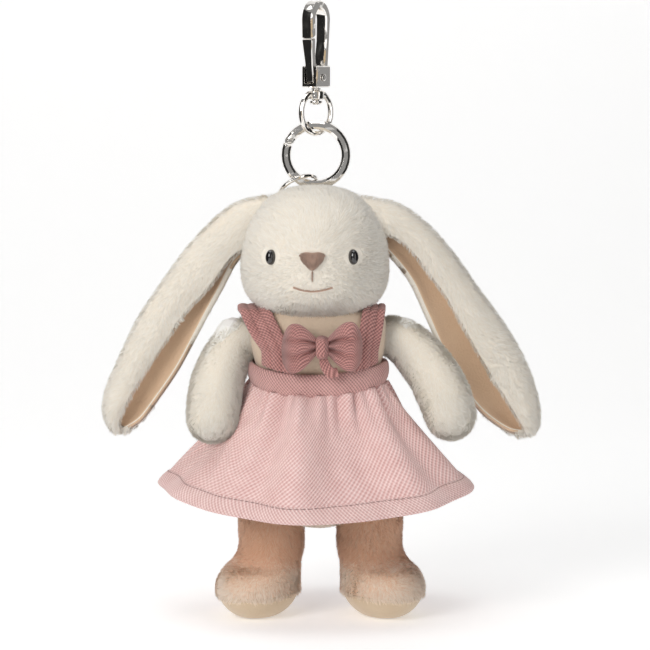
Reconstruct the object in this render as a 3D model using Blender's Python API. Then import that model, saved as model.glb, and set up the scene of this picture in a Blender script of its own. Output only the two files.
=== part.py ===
"""Plush rabbit keychain: a snap hook, a swivel eye, a spring ring and a jump ring that carry a stuffed
rabbit in a pinafore dress.

The design is drawn in millimetres and scaled to metres at the end. +Z is up and the rabbit looks
towards -Y. The origin is the inside top of the snap hook, where the bag loop that carries the keychain
bears.
"""
import bpy
import bmesh
from math import acos, atan2, ceil, cos, pi, radians, sin, sqrt
from mathutils import Matrix, Vector

TO_METRES = 0.001                # everything below is in millimetres until main() scales it
GAP = 0.3                    # clearance between pieces that touch on the real object
FLOOR = -217.5               # underside of the feet
PLUSH_X = 0.8                # the rabbit's middle plane, beside the hardware's axis

# Snap hook, drawn in its own plane: u runs from the gate (-) to the spine (+), v across its thickness.
HOOK_TURN = radians(60)           # how far the hook's plane stands turned about +Z
ARCH_INNER = 3.7
ARCH_OUTER = 6.7
HOOK_THICKNESS = 4.5
BASE_THICKNESS = 6.5
BASE_TOP = -20.8
BASE_BOTTOM = -27.9
GATE_PIN_U = -0.4
GATE_PIN_Z = -24.3
GATE_SWING = 14.6            # distance from the gate's pin to its tip
SLOT_WIDTH = 3.9
PIN_RADIUS = 0.6
PIN_BORE = 0.9

# Swivel eye.
EYE_TURN = radians(42)
EYE_WIRE = 1.1
EYE_HALF_WIDTH = 7.1
EYE_HALF_HEIGHT = 7.6
EYE_BOTTOM = -44.4           # centre of the wire at the lowest point
BARREL_RADIUS = 2.9
BARREL_TOP = -28.9
BARREL_BOTTOM = -32.35
RIVET_RADIUS = 1.25

# Spring ring, a round ring in the XZ plane with a hinged gate at its lower left.
RING_CENTRE_Z = -51.95
RING_RADIUS = 10.75          # to the middle of the section
RING_RADIAL = 1.75           # half the section's height
RING_AXIAL = 1.5             # half the section's width
RING_PIN_ANGLE = radians(151.5)
RING_GATE_END = radians(228)
RING_PIN_RADIUS = 0.5

# Jump ring, tilted, through the spring ring and the loop on the head.
JUMP_CENTRE = Vector((-6.4, 2.15, -63.6))
JUMP_RADIUS = 7.2
JUMP_WIRE = 0.8
JUMP_HEADING = radians(39)
JUMP_TILT = radians(52.8)

# Rabbit. Each plush cover is COVER thick and lies over a filling.
COVER = 1.3
HEAD_CENTRE = Vector((0, -6, -92.4))
HEAD_HALF_WIDTH = 25.2
HEAD_HALF_DEPTH = 22.5
HEAD_UP = 28.3
HEAD_DOWN = 17.7
HEAD_POWER = 2.4
TORSO_Y = -5.0
TORSO_POWER = 2.3
SHOULDER = Vector((31, -3, -116))
ARM_BALL = 8.0
ARM_ROOM = 11.0              # the skirt's inner face keeps this far from the arms' middle lines
HIP_LEFT = Vector((-17, -4, -172))
HIP_RIGHT = Vector((18.6, -4, -172))
LEG_RADIUS = 10.8
FOOT_TURN = radians(25)
LEG_SWINGS = (radians(-12), 0.0, radians(30))   # the hips are cut free over these swings
EAR_FOLD = 3.8               # radius of the fold along the ear's ridge
EAR_PLUSH = 2.0
EAR_LINING = 0.7
WAIST_HALF_HEIGHT = 3.7

COLOURS = {
    "chrome": ((0.80, 0.80, 0.80), 0.12, 1.0),
    "spring_steel": ((0.55, 0.55, 0.55), 0.30, 1.0),
    "cream_plush": ((0.86, 0.78, 0.66), 0.95, 0.0),
    "stuffing": ((0.92, 0.92, 0.90), 1.00, 0.0),
    "ear_lining": ((0.80, 0.58, 0.42), 0.85, 0.0),
    "suede": ((0.66, 0.52, 0.36), 0.90, 0.0),
    "black_eye": ((0.01, 0.01, 0.012), 0.08, 0.0),
    "washer_plastic": ((0.80, 0.80, 0.78), 0.50, 0.0),
    "brown_thread": ((0.38, 0.20, 0.12), 0.70, 0.0),
    "pink_twill": ((0.82, 0.42, 0.39), 0.85, 0.0),
    "rose_twill": ((0.60, 0.29, 0.28), 0.85, 0.0),
    "tape": ((0.80, 0.74, 0.64), 0.85, 0.0),
}


def clear_scene():
    for item in list(bpy.data.objects):
        bpy.data.objects.remove(item, do_unlink=True)


def get_material(slot):
    found = bpy.data.materials.get(slot)
    if found:
        return found
    colour, roughness, metallic = COLOURS[slot]
    made = bpy.data.materials.new(slot)
    made.use_nodes = True
    shader = made.node_tree.nodes["Principled BSDF"]
    shader.inputs["Base Color"].default_value = (*colour, 1.0)
    shader.inputs["Roughness"].default_value = roughness
    shader.inputs["Metallic"].default_value = metallic
    return made


# ---------------------------------------------------------------- mesh helpers

def finish_mesh(name, slot, mesh_builder, smooth=40):
    """Turn a bmesh into a named object with its faces pointing out."""
    bmesh.ops.recalc_face_normals(mesh_builder, faces=mesh_builder.faces)
    if mesh_builder.calc_volume(signed=True) < 0:
        bmesh.ops.reverse_faces(mesh_builder, faces=mesh_builder.faces)
    mesh = bpy.data.meshes.new(name)
    mesh_builder.to_mesh(mesh)
    mesh_builder.free()
    mesh.materials.append(get_material(slot))
    mesh.shade_smooth()
    mesh.set_sharp_from_angle(angle=radians(smooth))
    made = bpy.data.objects.new(name, mesh)
    bpy.context.scene.collection.objects.link(made)
    return made


def add_rings(builder, rings):
    """Join successive rings of points with quads, and return their vertices."""
    rows = [[builder.verts.new(point) for point in ring] for ring in rings]
    for row, following in zip(rows, rows[1:]):
        bridge(builder, row, following)
    return rows


def bridge(builder, row, following):
    count = len(row)
    for i in range(count):
        j = (i + 1) % count
        builder.faces.new((row[i], row[j], following[j], following[i]))


def cap(builder, row):
    """Close a ring with a fan about its middle."""
    middle = sum((vertex.co for vertex in row), Vector()) / len(row)
    centre = builder.verts.new(middle)
    for i, vertex in enumerate(row):
        builder.faces.new((vertex, row[(i + 1) % len(row)], centre))


def solid(name, slot, rings, smooth=40):
    """A closed body through rings of points, with both ends capped."""
    builder = bmesh.new()
    rows = add_rings(builder, rings)
    cap(builder, rows[0])
    cap(builder, rows[-1])
    return finish_mesh(name, slot, builder, smooth)


def folded_leaf(name, slot, rings, smooth=40):
    """A body of folded sections, each listed along its outer line and back along its inner line."""
    builder = bmesh.new()
    rows = add_rings(builder, rings)
    for row in (rows[0], rows[-1]):
        for k in range(len(row) // 2 - 1):
            builder.faces.new((row[k], row[k + 1], row[-2 - k], row[-1 - k]))
    return finish_mesh(name, slot, builder, smooth)


def cup(name, slot, outer, inner, smooth=40):
    """A shell that is open at its first ring and closed at its last."""
    builder = bmesh.new()
    outer_rows = add_rings(builder, outer)
    inner_rows = add_rings(builder, inner)
    bridge(builder, outer_rows[0], inner_rows[0])
    cap(builder, outer_rows[-1])
    cap(builder, inner_rows[-1])
    return finish_mesh(name, slot, builder, smooth)


def sleeve(name, slot, outer, inner, smooth=40):
    """A shell that is open at both ends."""
    builder = bmesh.new()
    outer_rows = add_rings(builder, outer)
    inner_rows = add_rings(builder, inner)
    bridge(builder, outer_rows[0], inner_rows[0])
    bridge(builder, outer_rows[-1], inner_rows[-1])
    return finish_mesh(name, slot, builder, smooth)


def hoop(name, slot, rings, smooth=40):
    """A closed ring through sections that follow each other all the way round."""
    builder = bmesh.new()
    rows = add_rings(builder, rings)
    bridge(builder, rows[-1], rows[0])
    return finish_mesh(name, slot, builder, smooth)


def ellipse(centre, u_axis, v_axis, count, power=2.0):
    """Points on a superellipse about a centre; the axes carry the half sizes."""
    points = []
    for i in range(count):
        angle = 2 * pi * i / count
        c, s = cos(angle), sin(angle)
        u = abs(c) ** (2 / power) * (1 if c >= 0 else -1)
        v = abs(s) ** (2 / power) * (1 if s >= 0 else -1)
        points.append(centre + u * u_axis + v * v_axis)
    return points


def level_ellipse(x, y, z, half_x, half_y, count, turn=0.0, power=2.0):
    """A horizontal ellipse, turned about +Z."""
    u_axis = Vector((cos(turn), sin(turn), 0)) * half_x
    v_axis = Vector((-sin(turn), cos(turn), 0)) * half_y
    return ellipse(Vector((x, y, z)), u_axis, v_axis, count, power)


def sweep_rings(path, radius, sides, flat_axis=None):
    """Round sections along a path that lies in one plane; flat_axis is that plane's normal."""
    rings = []
    for i, point in enumerate(path):
        before = path[max(i - 1, 0)]
        after = path[min(i + 1, len(path) - 1)]
        along = (after - before).normalized()
        side = flat_axis if flat_axis else Vector((0, 1, 0))
        up = along.cross(side).normalized()
        rings.append(ellipse(point, side * radius, up * radius, sides))
    return rings


def lathe(name, slot, profile, sides, smooth=40):
    """A body turned about +Z through (radius, z) pairs, with flat ends."""
    rings = [level_ellipse(0, 0, z, radius, radius, sides) for radius, z in profile]
    return solid(name, slot, rings, smooth)


def cylinder(start, end, radius, sides=16, name="tool", slot="chrome"):
    """A straight round bar between two points."""
    along = (end - start).normalized()
    side = along.orthogonal().normalized()
    up = along.cross(side)
    rings = [ellipse(point, side * radius, up * radius, sides) for point in (start, end)]
    return solid(name, slot, rings)


def block(low, high, name="tool", slot="chrome"):
    """A box between two corners."""
    rings = []
    for z in (low[2], high[2]):
        corners = ((low[0], low[1]), (high[0], low[1]), (high[0], high[1]), (low[0], high[1]))
        rings.append([Vector((x, y, z)) for x, y in corners])
    return solid(name, slot, rings)


def ball(centre, radius, sides=20, name="tool", slot="chrome"):
    """A round ball about a centre."""
    rings = []
    steps = sides // 2
    for i in range(1, steps):
        angle = pi * i / steps
        rings.append(level_ellipse(centre.x, centre.y, centre.z + radius * cos(angle),
                                   radius * sin(angle), radius * sin(angle), sides))
    return solid(name, slot, rings)


def is_closed(mesh):
    """Whether each edge of a mesh is shared by exactly two faces."""
    uses = {}
    for polygon in mesh.polygons:
        for key in polygon.edge_keys:
            uses[key] = uses.get(key, 0) + 1
    return all(count == 2 for count in uses.values())


def combine(target, tool, operation):
    """Apply a Boolean to target, then remove the tool. MANIFOLD steps in where EXACT leaves a seam open."""
    modifier = target.modifiers.new("boolean", "BOOLEAN")
    modifier.operation = operation
    modifier.object = tool
    for solver in ("EXACT", "MANIFOLD"):
        modifier.solver = solver
        graph = bpy.context.evaluated_depsgraph_get()
        result = bpy.data.meshes.new_from_object(target.evaluated_get(graph))
        if is_closed(result):
            break
    target.modifiers.clear()
    target.data = result
    bpy.data.objects.remove(tool, do_unlink=True)
    return target


def cut(target, tool):
    return combine(target, tool, "DIFFERENCE")


def join(target, tool):
    return combine(target, tool, "UNION")


def transform(item, matrix):
    item.data.transform(matrix)
    return item


def split_quads(item):
    """Turn warped quads into triangles, so that the surface is the same wherever it is read."""
    builder = bmesh.new()
    builder.from_mesh(item.data)
    bmesh.ops.triangulate(builder, faces=list(builder.faces))
    builder.to_mesh(item.data)
    builder.free()
    return item


def set_origin(item, point):
    """Move an object's origin to a point without moving its mesh."""
    item.data.transform(Matrix.Translation(-point))
    item.location = point
    return item


# ---------------------------------------------------------------- snap hook

def hook_point(u, v, z):
    """A point of the hook's own plane in world space."""
    return Matrix.Rotation(HOOK_TURN, 3, "Z") @ Vector((u, v, z))


def arc(centre_u, centre_z, radius, start, end, steps):
    points = []
    for i in range(steps + 1):
        angle = start + (end - start) * i / steps
        points.append((centre_u + radius * cos(angle), centre_z + radius * sin(angle)))
    return points


def tip_height(u, clearance):
    """Height on the circle that the gate's tip swings along."""
    return GATE_PIN_Z + sqrt((GATE_SWING + clearance) ** 2 - (u - GATE_PIN_U) ** 2)


def hook_outline():
    """The C of the hook and its base, as one closed outline in (u, z)."""
    nose_outer, nose_inner = -6.5, -3.6
    outline = [(nose_outer, tip_height(nose_outer, GAP))]
    outline += arc(0, -ARCH_INNER, ARCH_OUTER, pi, 0, 14)
    outline += [(4.9, BASE_TOP), (4.6, BASE_BOTTOM), (-4.2, BASE_BOTTOM),
                (-4.7, BASE_TOP), (1.9, BASE_TOP), (3.5, -11)]
    outline += arc(0, -ARCH_INNER, ARCH_INNER, 0, pi, 10)
    outline += [(nose_inner, tip_height(nose_inner, GAP))]
    return outline


def extrude_outline(name, outline, half_thickness):
    """Extrude an outline in (u, z) across v."""
    builder = bmesh.new()
    sides = [[builder.verts.new((u, v, z)) for u, z in outline] for v in (-half_thickness, half_thickness)]
    bridge(builder, sides[0], sides[1])
    for side in sides:
        builder.faces.new(side)
    return finish_mesh(name, "chrome", builder)


def bevel_edges(item, width, segments=1):
    modifier = item.modifiers.new("bevel", "BEVEL")
    modifier.width = width
    modifier.segments = segments
    modifier.limit_method = "ANGLE"
    modifier.angle_limit = radians(35)
    graph = bpy.context.evaluated_depsgraph_get()
    item.data = bpy.data.meshes.new_from_object(item.evaluated_get(graph))
    item.modifiers.clear()
    return item


def make_hook_body():
    body = extrude_outline("hook_body", hook_outline(), HOOK_THICKNESS / 2)
    bevel_edges(body, 0.5)
    half = BASE_THICKNESS / 2
    base = block((-4.7, -half, BASE_BOTTOM), (4.9, half, BASE_TOP + 0.6))
    bevel_edges(base, 0.4)
    join(body, base)
    slot_half = SLOT_WIDTH / 2
    cut(body, block((-9, -slot_half, BASE_BOTTOM + 1.3), (2.3, slot_half, -18.5)))
    pin = Vector((GATE_PIN_U, 0, GATE_PIN_Z))
    across = Vector((0, 5, 0))
    cut(body, cylinder(pin - across, pin + across, PIN_BORE))
    cut(body, cylinder(Vector((0, 0, -29)), Vector((0, 0, -26)), RIVET_RADIUS + GAP))
    return transform(body, Matrix.Rotation(HOOK_TURN, 4, "Z"))


def make_hook_gate():
    """A tapered lever: front and back (u, z) at each station, and half its width."""
    front_top, back_top = -6.4, -3.9
    stations = [
        ((front_top, tip_height(front_top, 0)), (back_top, tip_height(back_top, 0)), 2.15),
        ((-5.9, -15), (-3.4, -14.6), 1.85),
        ((-5.2, -19.4), (-2.6, -19.4), 1.6),
        ((-4.8, -22.6), (1.0, -22.6), 1.6),
        ((-4.6, -24.3), (1.6, -24.3), 1.6),
        ((-4.3, -26.0), (0.6, -26.0), 1.6),
    ]
    rings = []
    for front, back, half in stations:
        rings.append([Vector((u, v, z)) for u, z, v in (
            (front[0], front[1], -half), (back[0], back[1], -half),
            (back[0], back[1], half), (front[0], front[1], half))])
    gate = solid("hook_gate", "chrome", rings)
    bevel_edges(gate, 0.3)
    pin = Vector((GATE_PIN_U, 0, GATE_PIN_Z))
    across = Vector((0, 4, 0))
    cut(gate, cylinder(pin - across, pin + across, PIN_BORE))
    cut(gate, block((-2.1, -1.0, -27), (3, 1.0, -22.5)))
    transform(gate, Matrix.Rotation(HOOK_TURN, 4, "Z"))
    return set_origin(gate, hook_point(GATE_PIN_U, 0, GATE_PIN_Z))


def turned_pin(name, middle, along, half_length, radius, head_radius, head_height):
    """A pin with a low round head at each end."""
    side = along.orthogonal().normalized()
    up = along.cross(side)
    stations = [(-half_length - head_height, head_radius * 0.7), (-half_length - head_height / 2, head_radius),
                (-half_length, head_radius), (-half_length, radius), (half_length, radius),
                (half_length, head_radius), (half_length + head_height / 2, head_radius),
                (half_length + head_height, head_radius * 0.7)]
    rings = [ellipse(middle + along * place, side * size, up * size, 12) for place, size in stations]
    return solid(name, "chrome", rings)


def coil(name, middle, along, coil_radius, wire_radius, turns, pitch, start_angle=0.0):
    """A helical spring about a line."""
    side = along.orthogonal().normalized()
    up = along.cross(side)
    steps = ceil(turns * 8)
    rings = []
    for i in range(steps + 1):
        turn = turns * i / steps
        angle = start_angle + 2 * pi * turn
        outward = side * cos(angle) + up * sin(angle)
        centre = middle + along * ((turn - turns / 2) * pitch) + outward * coil_radius
        rings.append(ellipse(centre, outward * wire_radius, along * wire_radius, 4))
    return solid(name, "spring_steel", rings)


def make_hook():
    make_hook_body()
    make_hook_gate()
    pin_middle = hook_point(GATE_PIN_U, 0, GATE_PIN_Z)
    across = hook_point(0, 1, 0)
    turned_pin("hook_gate_pin", pin_middle, across, BASE_THICKNESS / 2 + GAP, PIN_RADIUS, 1.25, 0.4)
    coil("hook_gate_spring", pin_middle, across, 1.15, 0.18, 2.4, 0.5)


# ---------------------------------------------------------------- swivel

def make_rivet():
    profile = [(RIVET_RADIUS, -26.9), (RIVET_RADIUS, BASE_BOTTOM - GAP),
               (1.9, BASE_BOTTOM - GAP), (1.9, BARREL_TOP + GAP),
               (RIVET_RADIUS, BARREL_TOP + GAP), (RIVET_RADIUS, BARREL_BOTTOM - GAP),
               (2.3, BARREL_BOTTOM - GAP), (2.3, BARREL_BOTTOM - 1.0),
               (1.7, BARREL_BOTTOM - 1.6)]
    return lathe("swivel_rivet", "chrome", profile, 16)


def make_swivel_eye():
    facing = Vector((cos(EYE_TURN), sin(EYE_TURN), 0))
    centre_z = EYE_BOTTOM + EYE_HALF_HEIGHT
    start = radians(64)
    path = []
    steps = 20
    for i in range(steps + 1):
        angle = start - (pi + 2 * start) * i / steps
        path.append(facing * EYE_HALF_WIDTH * cos(angle)
                    + Vector((0, 0, centre_z + EYE_HALF_HEIGHT * sin(angle))))
    normal = facing.cross(Vector((0, 0, 1)))
    eye = solid("swivel_eye", "chrome", sweep_rings(path, EYE_WIRE, 8, normal))
    bevel = 0.5
    barrel = lathe("tool", "chrome", [(BARREL_RADIUS - bevel, BARREL_TOP), (BARREL_RADIUS, BARREL_TOP - bevel),
                                      (BARREL_RADIUS, BARREL_BOTTOM + bevel),
                                      (BARREL_RADIUS - bevel, BARREL_BOTTOM)], 20)
    join(eye, barrel)
    return cut(eye, cylinder(Vector((0, 0, -40)), Vector((0, 0, -20)), RIVET_RADIUS + GAP, 16))


# ---------------------------------------------------------------- spring ring

def ring_place(angle, radius=RING_RADIUS):
    return Vector((radius * cos(angle), 0, RING_CENTRE_Z + radius * sin(angle)))


def ring_section(angle, radial, axial):
    outward = Vector((cos(angle), 0, sin(angle)))
    return ellipse(ring_place(angle), outward * radial, Vector((0, axial, 0)), 10, 2.5)


def ring_sector(name, start, end, steps, radial=RING_RADIAL, axial=RING_AXIAL):
    angles = [start + (end - start) * i / steps for i in range(steps + 1)]
    return solid(name, "chrome", [ring_section(angle, radial, axial) for angle in angles])


def gate_end_section(reach):
    """The ring's section laid on a circle of a radius about the gate's pin, so the gate clears it."""
    section = []
    for point in ring_section(0, RING_RADIAL, RING_AXIAL):
        radius = point.x
        spread = acos((radius ** 2 + RING_RADIUS ** 2 - reach ** 2) / (2 * radius * RING_RADIUS))
        place = ring_place(RING_PIN_ANGLE + spread, radius)
        section.append(Vector((place.x, point.y, place.z)))
    return section


def pin_disc(radius, half_width, sides=16):
    """A disc about the ring gate's pin."""
    middle = ring_place(RING_PIN_ANGLE)
    across = Vector((0, half_width, 0))
    return cylinder(middle - across, middle + across, radius, sides)


def make_spring_ring():
    tongue_half = 0.55
    slot_half = 0.85
    pin_bore = RING_PIN_RADIUS + GAP
    past_pin = radians(1.3)
    gate_reach = 2 * RING_RADIUS * sin((RING_GATE_END - RING_PIN_ANGLE) / 2)
    end_lean = radians(9)
    start, end = RING_GATE_END + end_lean, RING_PIN_ANGLE - past_pin + 2 * pi
    angles = [start + (end - start) * i / 25 for i in range(26)]
    rings = [gate_end_section(gate_reach + GAP)]
    rings += [ring_section(angle, RING_RADIAL, RING_AXIAL) for angle in angles]
    body = solid("spring_ring_body", "chrome", rings)
    join(body, pin_disc(RING_RADIAL * 0.97, RING_AXIAL * 0.9))
    cut(body, pin_disc(1.95, slot_half))
    cut(body, pin_disc(pin_bore, 5, 12))
    backward = Vector((sin(RING_PIN_ANGLE), 0, -cos(RING_PIN_ANGLE)))
    bore_start = ring_place(RING_PIN_ANGLE) + backward * 1.4
    bore_end = ring_place(RING_PIN_ANGLE) + backward * 4.6
    cut(body, cylinder(bore_start, bore_end, 0.8, 12))

    start, end = RING_PIN_ANGLE, RING_GATE_END - end_lean
    angles = [start + (end - start) * i / 7 for i in range(8)]
    rings = [ring_section(angle, RING_RADIAL, RING_AXIAL) for angle in angles]
    gate = solid("spring_ring_gate", "chrome", rings + [gate_end_section(gate_reach)])
    cut(gate, pin_disc(2.1, 5))
    tongue_end = RING_PIN_ANGLE + radians(20)
    join(gate, ring_sector("tool", RING_PIN_ANGLE + past_pin, tongue_end, 4, 1.2, tongue_half))
    join(gate, pin_disc(1.6, tongue_half * 0.97))
    cut(gate, pin_disc(pin_bore, 5, 12))
    set_origin(gate, ring_place(RING_PIN_ANGLE))

    turned_pin("spring_ring_pin", ring_place(RING_PIN_ANGLE), Vector((0, 1, 0)), RING_AXIAL + GAP,
               RING_PIN_RADIUS, 0.95, 0.4)
    spring_middle = ring_place(RING_PIN_ANGLE) + backward * 3.15
    coil("spring_ring_spring", spring_middle, backward, 0.36, 0.1, 4, 0.52)


# ---------------------------------------------------------------- jump ring and loop

def jump_axes():
    across = Vector((cos(JUMP_HEADING), sin(JUMP_HEADING), 0))
    down = Vector((-sin(JUMP_HEADING) * sin(JUMP_TILT), cos(JUMP_HEADING) * sin(JUMP_TILT), -cos(JUMP_TILT)))
    return across, down


def make_jump_ring():
    """A ring of round wire with a fine cut on its left."""
    across, down = jump_axes()
    normal = across.cross(down)
    half_cut = radians(2)
    steps = 26
    rings = []
    for i in range(steps + 1):
        angle = pi + half_cut + (2 * pi - 2 * half_cut) * i / steps
        outward = across * cos(angle) + down * sin(angle)
        centre = JUMP_CENTRE + outward * JUMP_RADIUS
        rings.append(ellipse(centre, outward * JUMP_WIRE, normal * JUMP_WIRE, 6))
    return solid("jump_ring", "chrome", rings)


def loop_centre():
    return JUMP_CENTRE + jump_axes()[1] * JUMP_RADIUS


def make_hanging_loop():
    """A band of tape that goes round the jump ring's wire and into the head's seam."""
    across, down = jump_axes()
    normal = across.cross(down)
    inner, thickness, half_width = JUMP_WIRE + 0.4, 0.65, 2.0
    steps = 16
    rings = []
    for i in range(steps):
        angle = 2 * pi * i / steps
        outward = down * cos(angle) + normal * sin(angle)
        corners = ((inner, -half_width), (inner + thickness, -half_width),
                   (inner + thickness, half_width), (inner, half_width))
        rings.append([loop_centre() + outward * radius + across * side for radius, side in corners])
    return hoop("hanging_loop", "tape", rings)


# ---------------------------------------------------------------- head

def head_scale(z, height_up, height_down):
    """How far the head's section reaches out at a height z above its widest level."""
    height = height_up if z > 0 else height_down
    return max(0.0, 1 - abs(z / height) ** HEAD_POWER) ** (1 / HEAD_POWER)


def head_rings(inset, neck_radius, levels, count):
    """Rings of the head from the neck opening over the crown, set in by an amount."""
    up, down = HEAD_UP - inset, HEAD_DOWN - inset
    half_x, half_y = HEAD_HALF_WIDTH - inset, HEAD_HALF_DEPTH - inset
    lowest = -down * (1 - (neck_radius / half_x) ** HEAD_POWER) ** (1 / HEAD_POWER)
    start = -(abs(lowest / down) ** (HEAD_POWER / 2))
    rings = []
    for i in range(levels + 1):
        low_angle = -atan2(-start, sqrt(1 - start ** 2))
        angle = low_angle + (radians(83) - low_angle) * i / levels
        height = up if angle > 0 else down
        z = height * abs(sin(angle)) ** (2 / HEAD_POWER) * (1 if angle > 0 else -1)
        scale = cos(angle) ** (2 / HEAD_POWER)
        rings.append(level_ellipse(HEAD_CENTRE.x, HEAD_CENTRE.y, HEAD_CENTRE.z + z,
                                   half_x * scale, half_y * scale, count))
    return rings


def face_point(x, z, proud):
    """A point on the front of the head, or proud of it; z is measured from the head's centre."""
    scale = head_scale(z, HEAD_UP, HEAD_DOWN)
    y = -HEAD_HALF_DEPTH * sqrt(max(0.0, scale ** 2 - (x / HEAD_HALF_WIDTH) ** 2))
    height = HEAD_UP if z > 0 else HEAD_DOWN
    rise = abs(z / height) ** (HEAD_POWER - 1) / height * (1 if z > 0 else -1) * scale ** (2 - HEAD_POWER)
    normal = Vector((x / HEAD_HALF_WIDTH ** 2, y / HEAD_HALF_DEPTH ** 2, rise)).normalized()
    return HEAD_CENTRE + Vector((x, y, z)) + normal * proud, normal


def make_head():
    cover = cup("head_cover", "cream_plush", head_rings(0, 8, 9, 24),
                head_rings(COVER, 7, 9, 24))
    filling = solid("head_filling", "stuffing", head_rings(COVER + 0.6, 5, 7, 18))
    for side, name in ((-1, "left"), (1, "right")):
        make_eye(side, name, cover, filling)
    across = jump_axes()[0]
    tape_room = across * 2.4
    shift = Vector((-PLUSH_X, 0, 0))
    cut(cover, cylinder(loop_centre() - tape_room + shift, loop_centre() + tape_room + shift, 2.15, 16))
    make_nose()
    make_mouth()


def make_eye(side, name, cover, filling):
    """A domed safety eye whose shank goes through the cover into a washer."""
    seat, normal = face_point(side * 15.0, 5.7, 0)
    radius, shank, washer = 3.0, 0.8, 2.6
    across = normal.orthogonal().normalized()
    up = normal.cross(across)
    back = -0.2
    stations = [(-4.6, shank), (back, shank), (back, radius * 0.92), (0.5, radius),
                (1.4, radius * 0.86), (2.1, radius * 0.55)]
    rings = [ellipse(seat + normal * depth, across * size, up * size, 16) for depth, size in stations]
    solid("eye_" + name, "black_eye", rings)
    hollow = [(washer, -3.3), (washer, -2.5)]
    outer = [ellipse(seat + normal * depth, across * size, up * size, 16) for size, depth in hollow]
    inner = [ellipse(seat + normal * depth, across * (shank + GAP), up * (shank + GAP), 16)
             for size, depth in hollow]
    sleeve("eye_washer_" + name, "washer_plastic", outer, inner)
    cut(cover, cylinder(seat + normal * (back - GAP), seat + normal * 6, radius + GAP, 20))
    cut(cover, cylinder(seat - normal * 4, seat + normal * 2, shank + GAP, 12))
    cut(filling, cylinder(seat - normal * 5.4, seat + normal * 2, washer + GAP, 16))


def make_nose():
    """An embroidered pad: a rounded triangle with its point down, laid on the face."""
    half_width, top, bottom = 5.2, 8.3, 1.0
    middle = (top + bottom) / 2
    count = 18
    layers = []
    for proud, shrink in ((GAP, 1.0), (1.0, 0.96), (1.3, 0.6)):
        ring = []
        for i in range(count):
            angle = 2 * pi * i / count
            rise = sin(angle)
            width = half_width * (0.72 + 0.28 * rise) * cos(angle)
            height = middle + (top - bottom) / 2 * rise
            ring.append(face_point(width * shrink, middle + (height - middle) * shrink, proud)[0])
        layers.append(ring)
    solid("nose_embroidery", "brown_thread", layers)


def make_mouth():
    """Stitched lines: a short one under the nose, and a shallow smile."""
    thread = 0.35
    smile = []
    for i in range(15):
        place = -1 + 2 * i / 14
        smile.append((7.6 * place, -11.4 + 2.1 * place ** 2))
    stitched_line("mouth_stitching", smile, thread)


def stitched_line(name, points, thread):
    rings = []
    places = [face_point(x, z, GAP + thread) for x, z in points]
    for i, (place, normal) in enumerate(places):
        before = places[max(i - 1, 0)][0]
        after = places[min(i + 1, len(places) - 1)][0]
        side = normal.cross((after - before).normalized())
        rings.append(ellipse(place, normal * thread, side * thread, 6))
    return solid(name, "brown_thread", rings)


# ---------------------------------------------------------------- ears

def bend(points, place):
    """A smooth curve through points at a place from 0 to 1 (Catmull-Rom)."""
    spans = len(points) - 1
    scaled = min(place * spans, spans - 1e-9)
    i = int(scaled)
    t = scaled - i
    a, b, c, d = (points[max(0, min(spans, j))] for j in (i - 1, i, i + 1, i + 2))
    return 0.5 * (2 * b + (c - a) * t + (2 * a - 5 * b + 4 * c - d) * t ** 2 + (3 * b - a - 3 * c + d) * t ** 3)


def ear_section(ridge, inward, front, back, thickness, offset):
    """A folded leaf across the ear: the front flap, a half-round fold at the ridge, and the back flap.

    The flaps reach front and back from the ridge. The band lies between offset and offset + thickness
    inside the outer face.
    """
    fold = min(EAR_FOLD, 0.35 * front + 1.9)
    outline = []
    for shift in (offset, offset + thickness):
        radius = fold - shift
        side = [(max(front, fold + 0.4), -radius)]
        for angle in (-90, -45, 0, 45, 90):
            side.append((fold - radius * cos(radians(angle)), radius * sin(radians(angle))))
        side.append((max(back, fold + 0.4), radius))
        outline += side if shift == offset else side[::-1]
    return [ridge + inward * reach + Vector((0, y, 0)) for reach, y in outline]


def make_ear(side, name, ridge_points, front_widths, back_widths):
    """Plush outside and lining inside, lofted along the ridge."""
    steps = 9
    plush, lining = [], []
    for i in range(steps + 1):
        place = i / steps
        ridge = bend(ridge_points, place)
        ahead = bend(ridge_points, min(1.0, place + 0.01)) - bend(ridge_points, max(0.0, place - 0.01))
        along = ahead.normalized()
        inward = Vector((-side * -along.z, 0, -side * along.x)).normalized()
        front = bend(front_widths, place)
        back = bend(back_widths, place)
        plush.append(ear_section(ridge, inward, front, back, EAR_PLUSH, 0))
        lining.append(ear_section(ridge, inward, front, back, EAR_LINING, EAR_PLUSH + GAP))
    split_quads(folded_leaf("ear_" + name + "_plush", "cream_plush", plush, 50))
    split_quads(folded_leaf("ear_" + name + "_lining", "ear_lining", lining[1:-1], 50))


def make_ears():
    left = [(-25.5, 147.5), (-31.5, 146.5), (-44.2, 134.4), (-56.6, 118.4), (-67.2, 99), (-73.8, 83.5),
            (-75.4, 75), (-72.4, 68.2)]
    right = [(26.5, 149), (32.0, 147.5), (44.0, 136), (56.0, 120.5), (66.5, 105), (74.5, 91.5),
             (78.4, 79), (77.0, 69)]
    front_widths = [2.5, 10, 13, 11, 9.5, 7, 5.5, 3]
    back_widths = [3, 13, 18, 18, 17, 15.5, 12.5, 6]
    ear_y = -3.5
    outline_floor = FLOOR - 1.5
    for side, name, outline in ((-1, "left", left), (1, "right", right)):
        ridge = [Vector((x, ear_y, outline_floor + z)) for x, z in outline]
        make_ear(side, name, ridge, front_widths, back_widths)


# ---------------------------------------------------------------- torso

TORSO_STATIONS = [(-105.4, 8, 6), (-106.2, 18, 12), (-108.5, 24, 15.5), (-113, 26, 17.5), (-120, 25, 18),
                  (-128, 22.6, 17.6), (-134, 22, 17.6), (-145, 23.5, 19), (-158, 23, 19), (-170, 21, 17.5),
                  (-179, 15, 13), (-183.5, 7, 7)]


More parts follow.
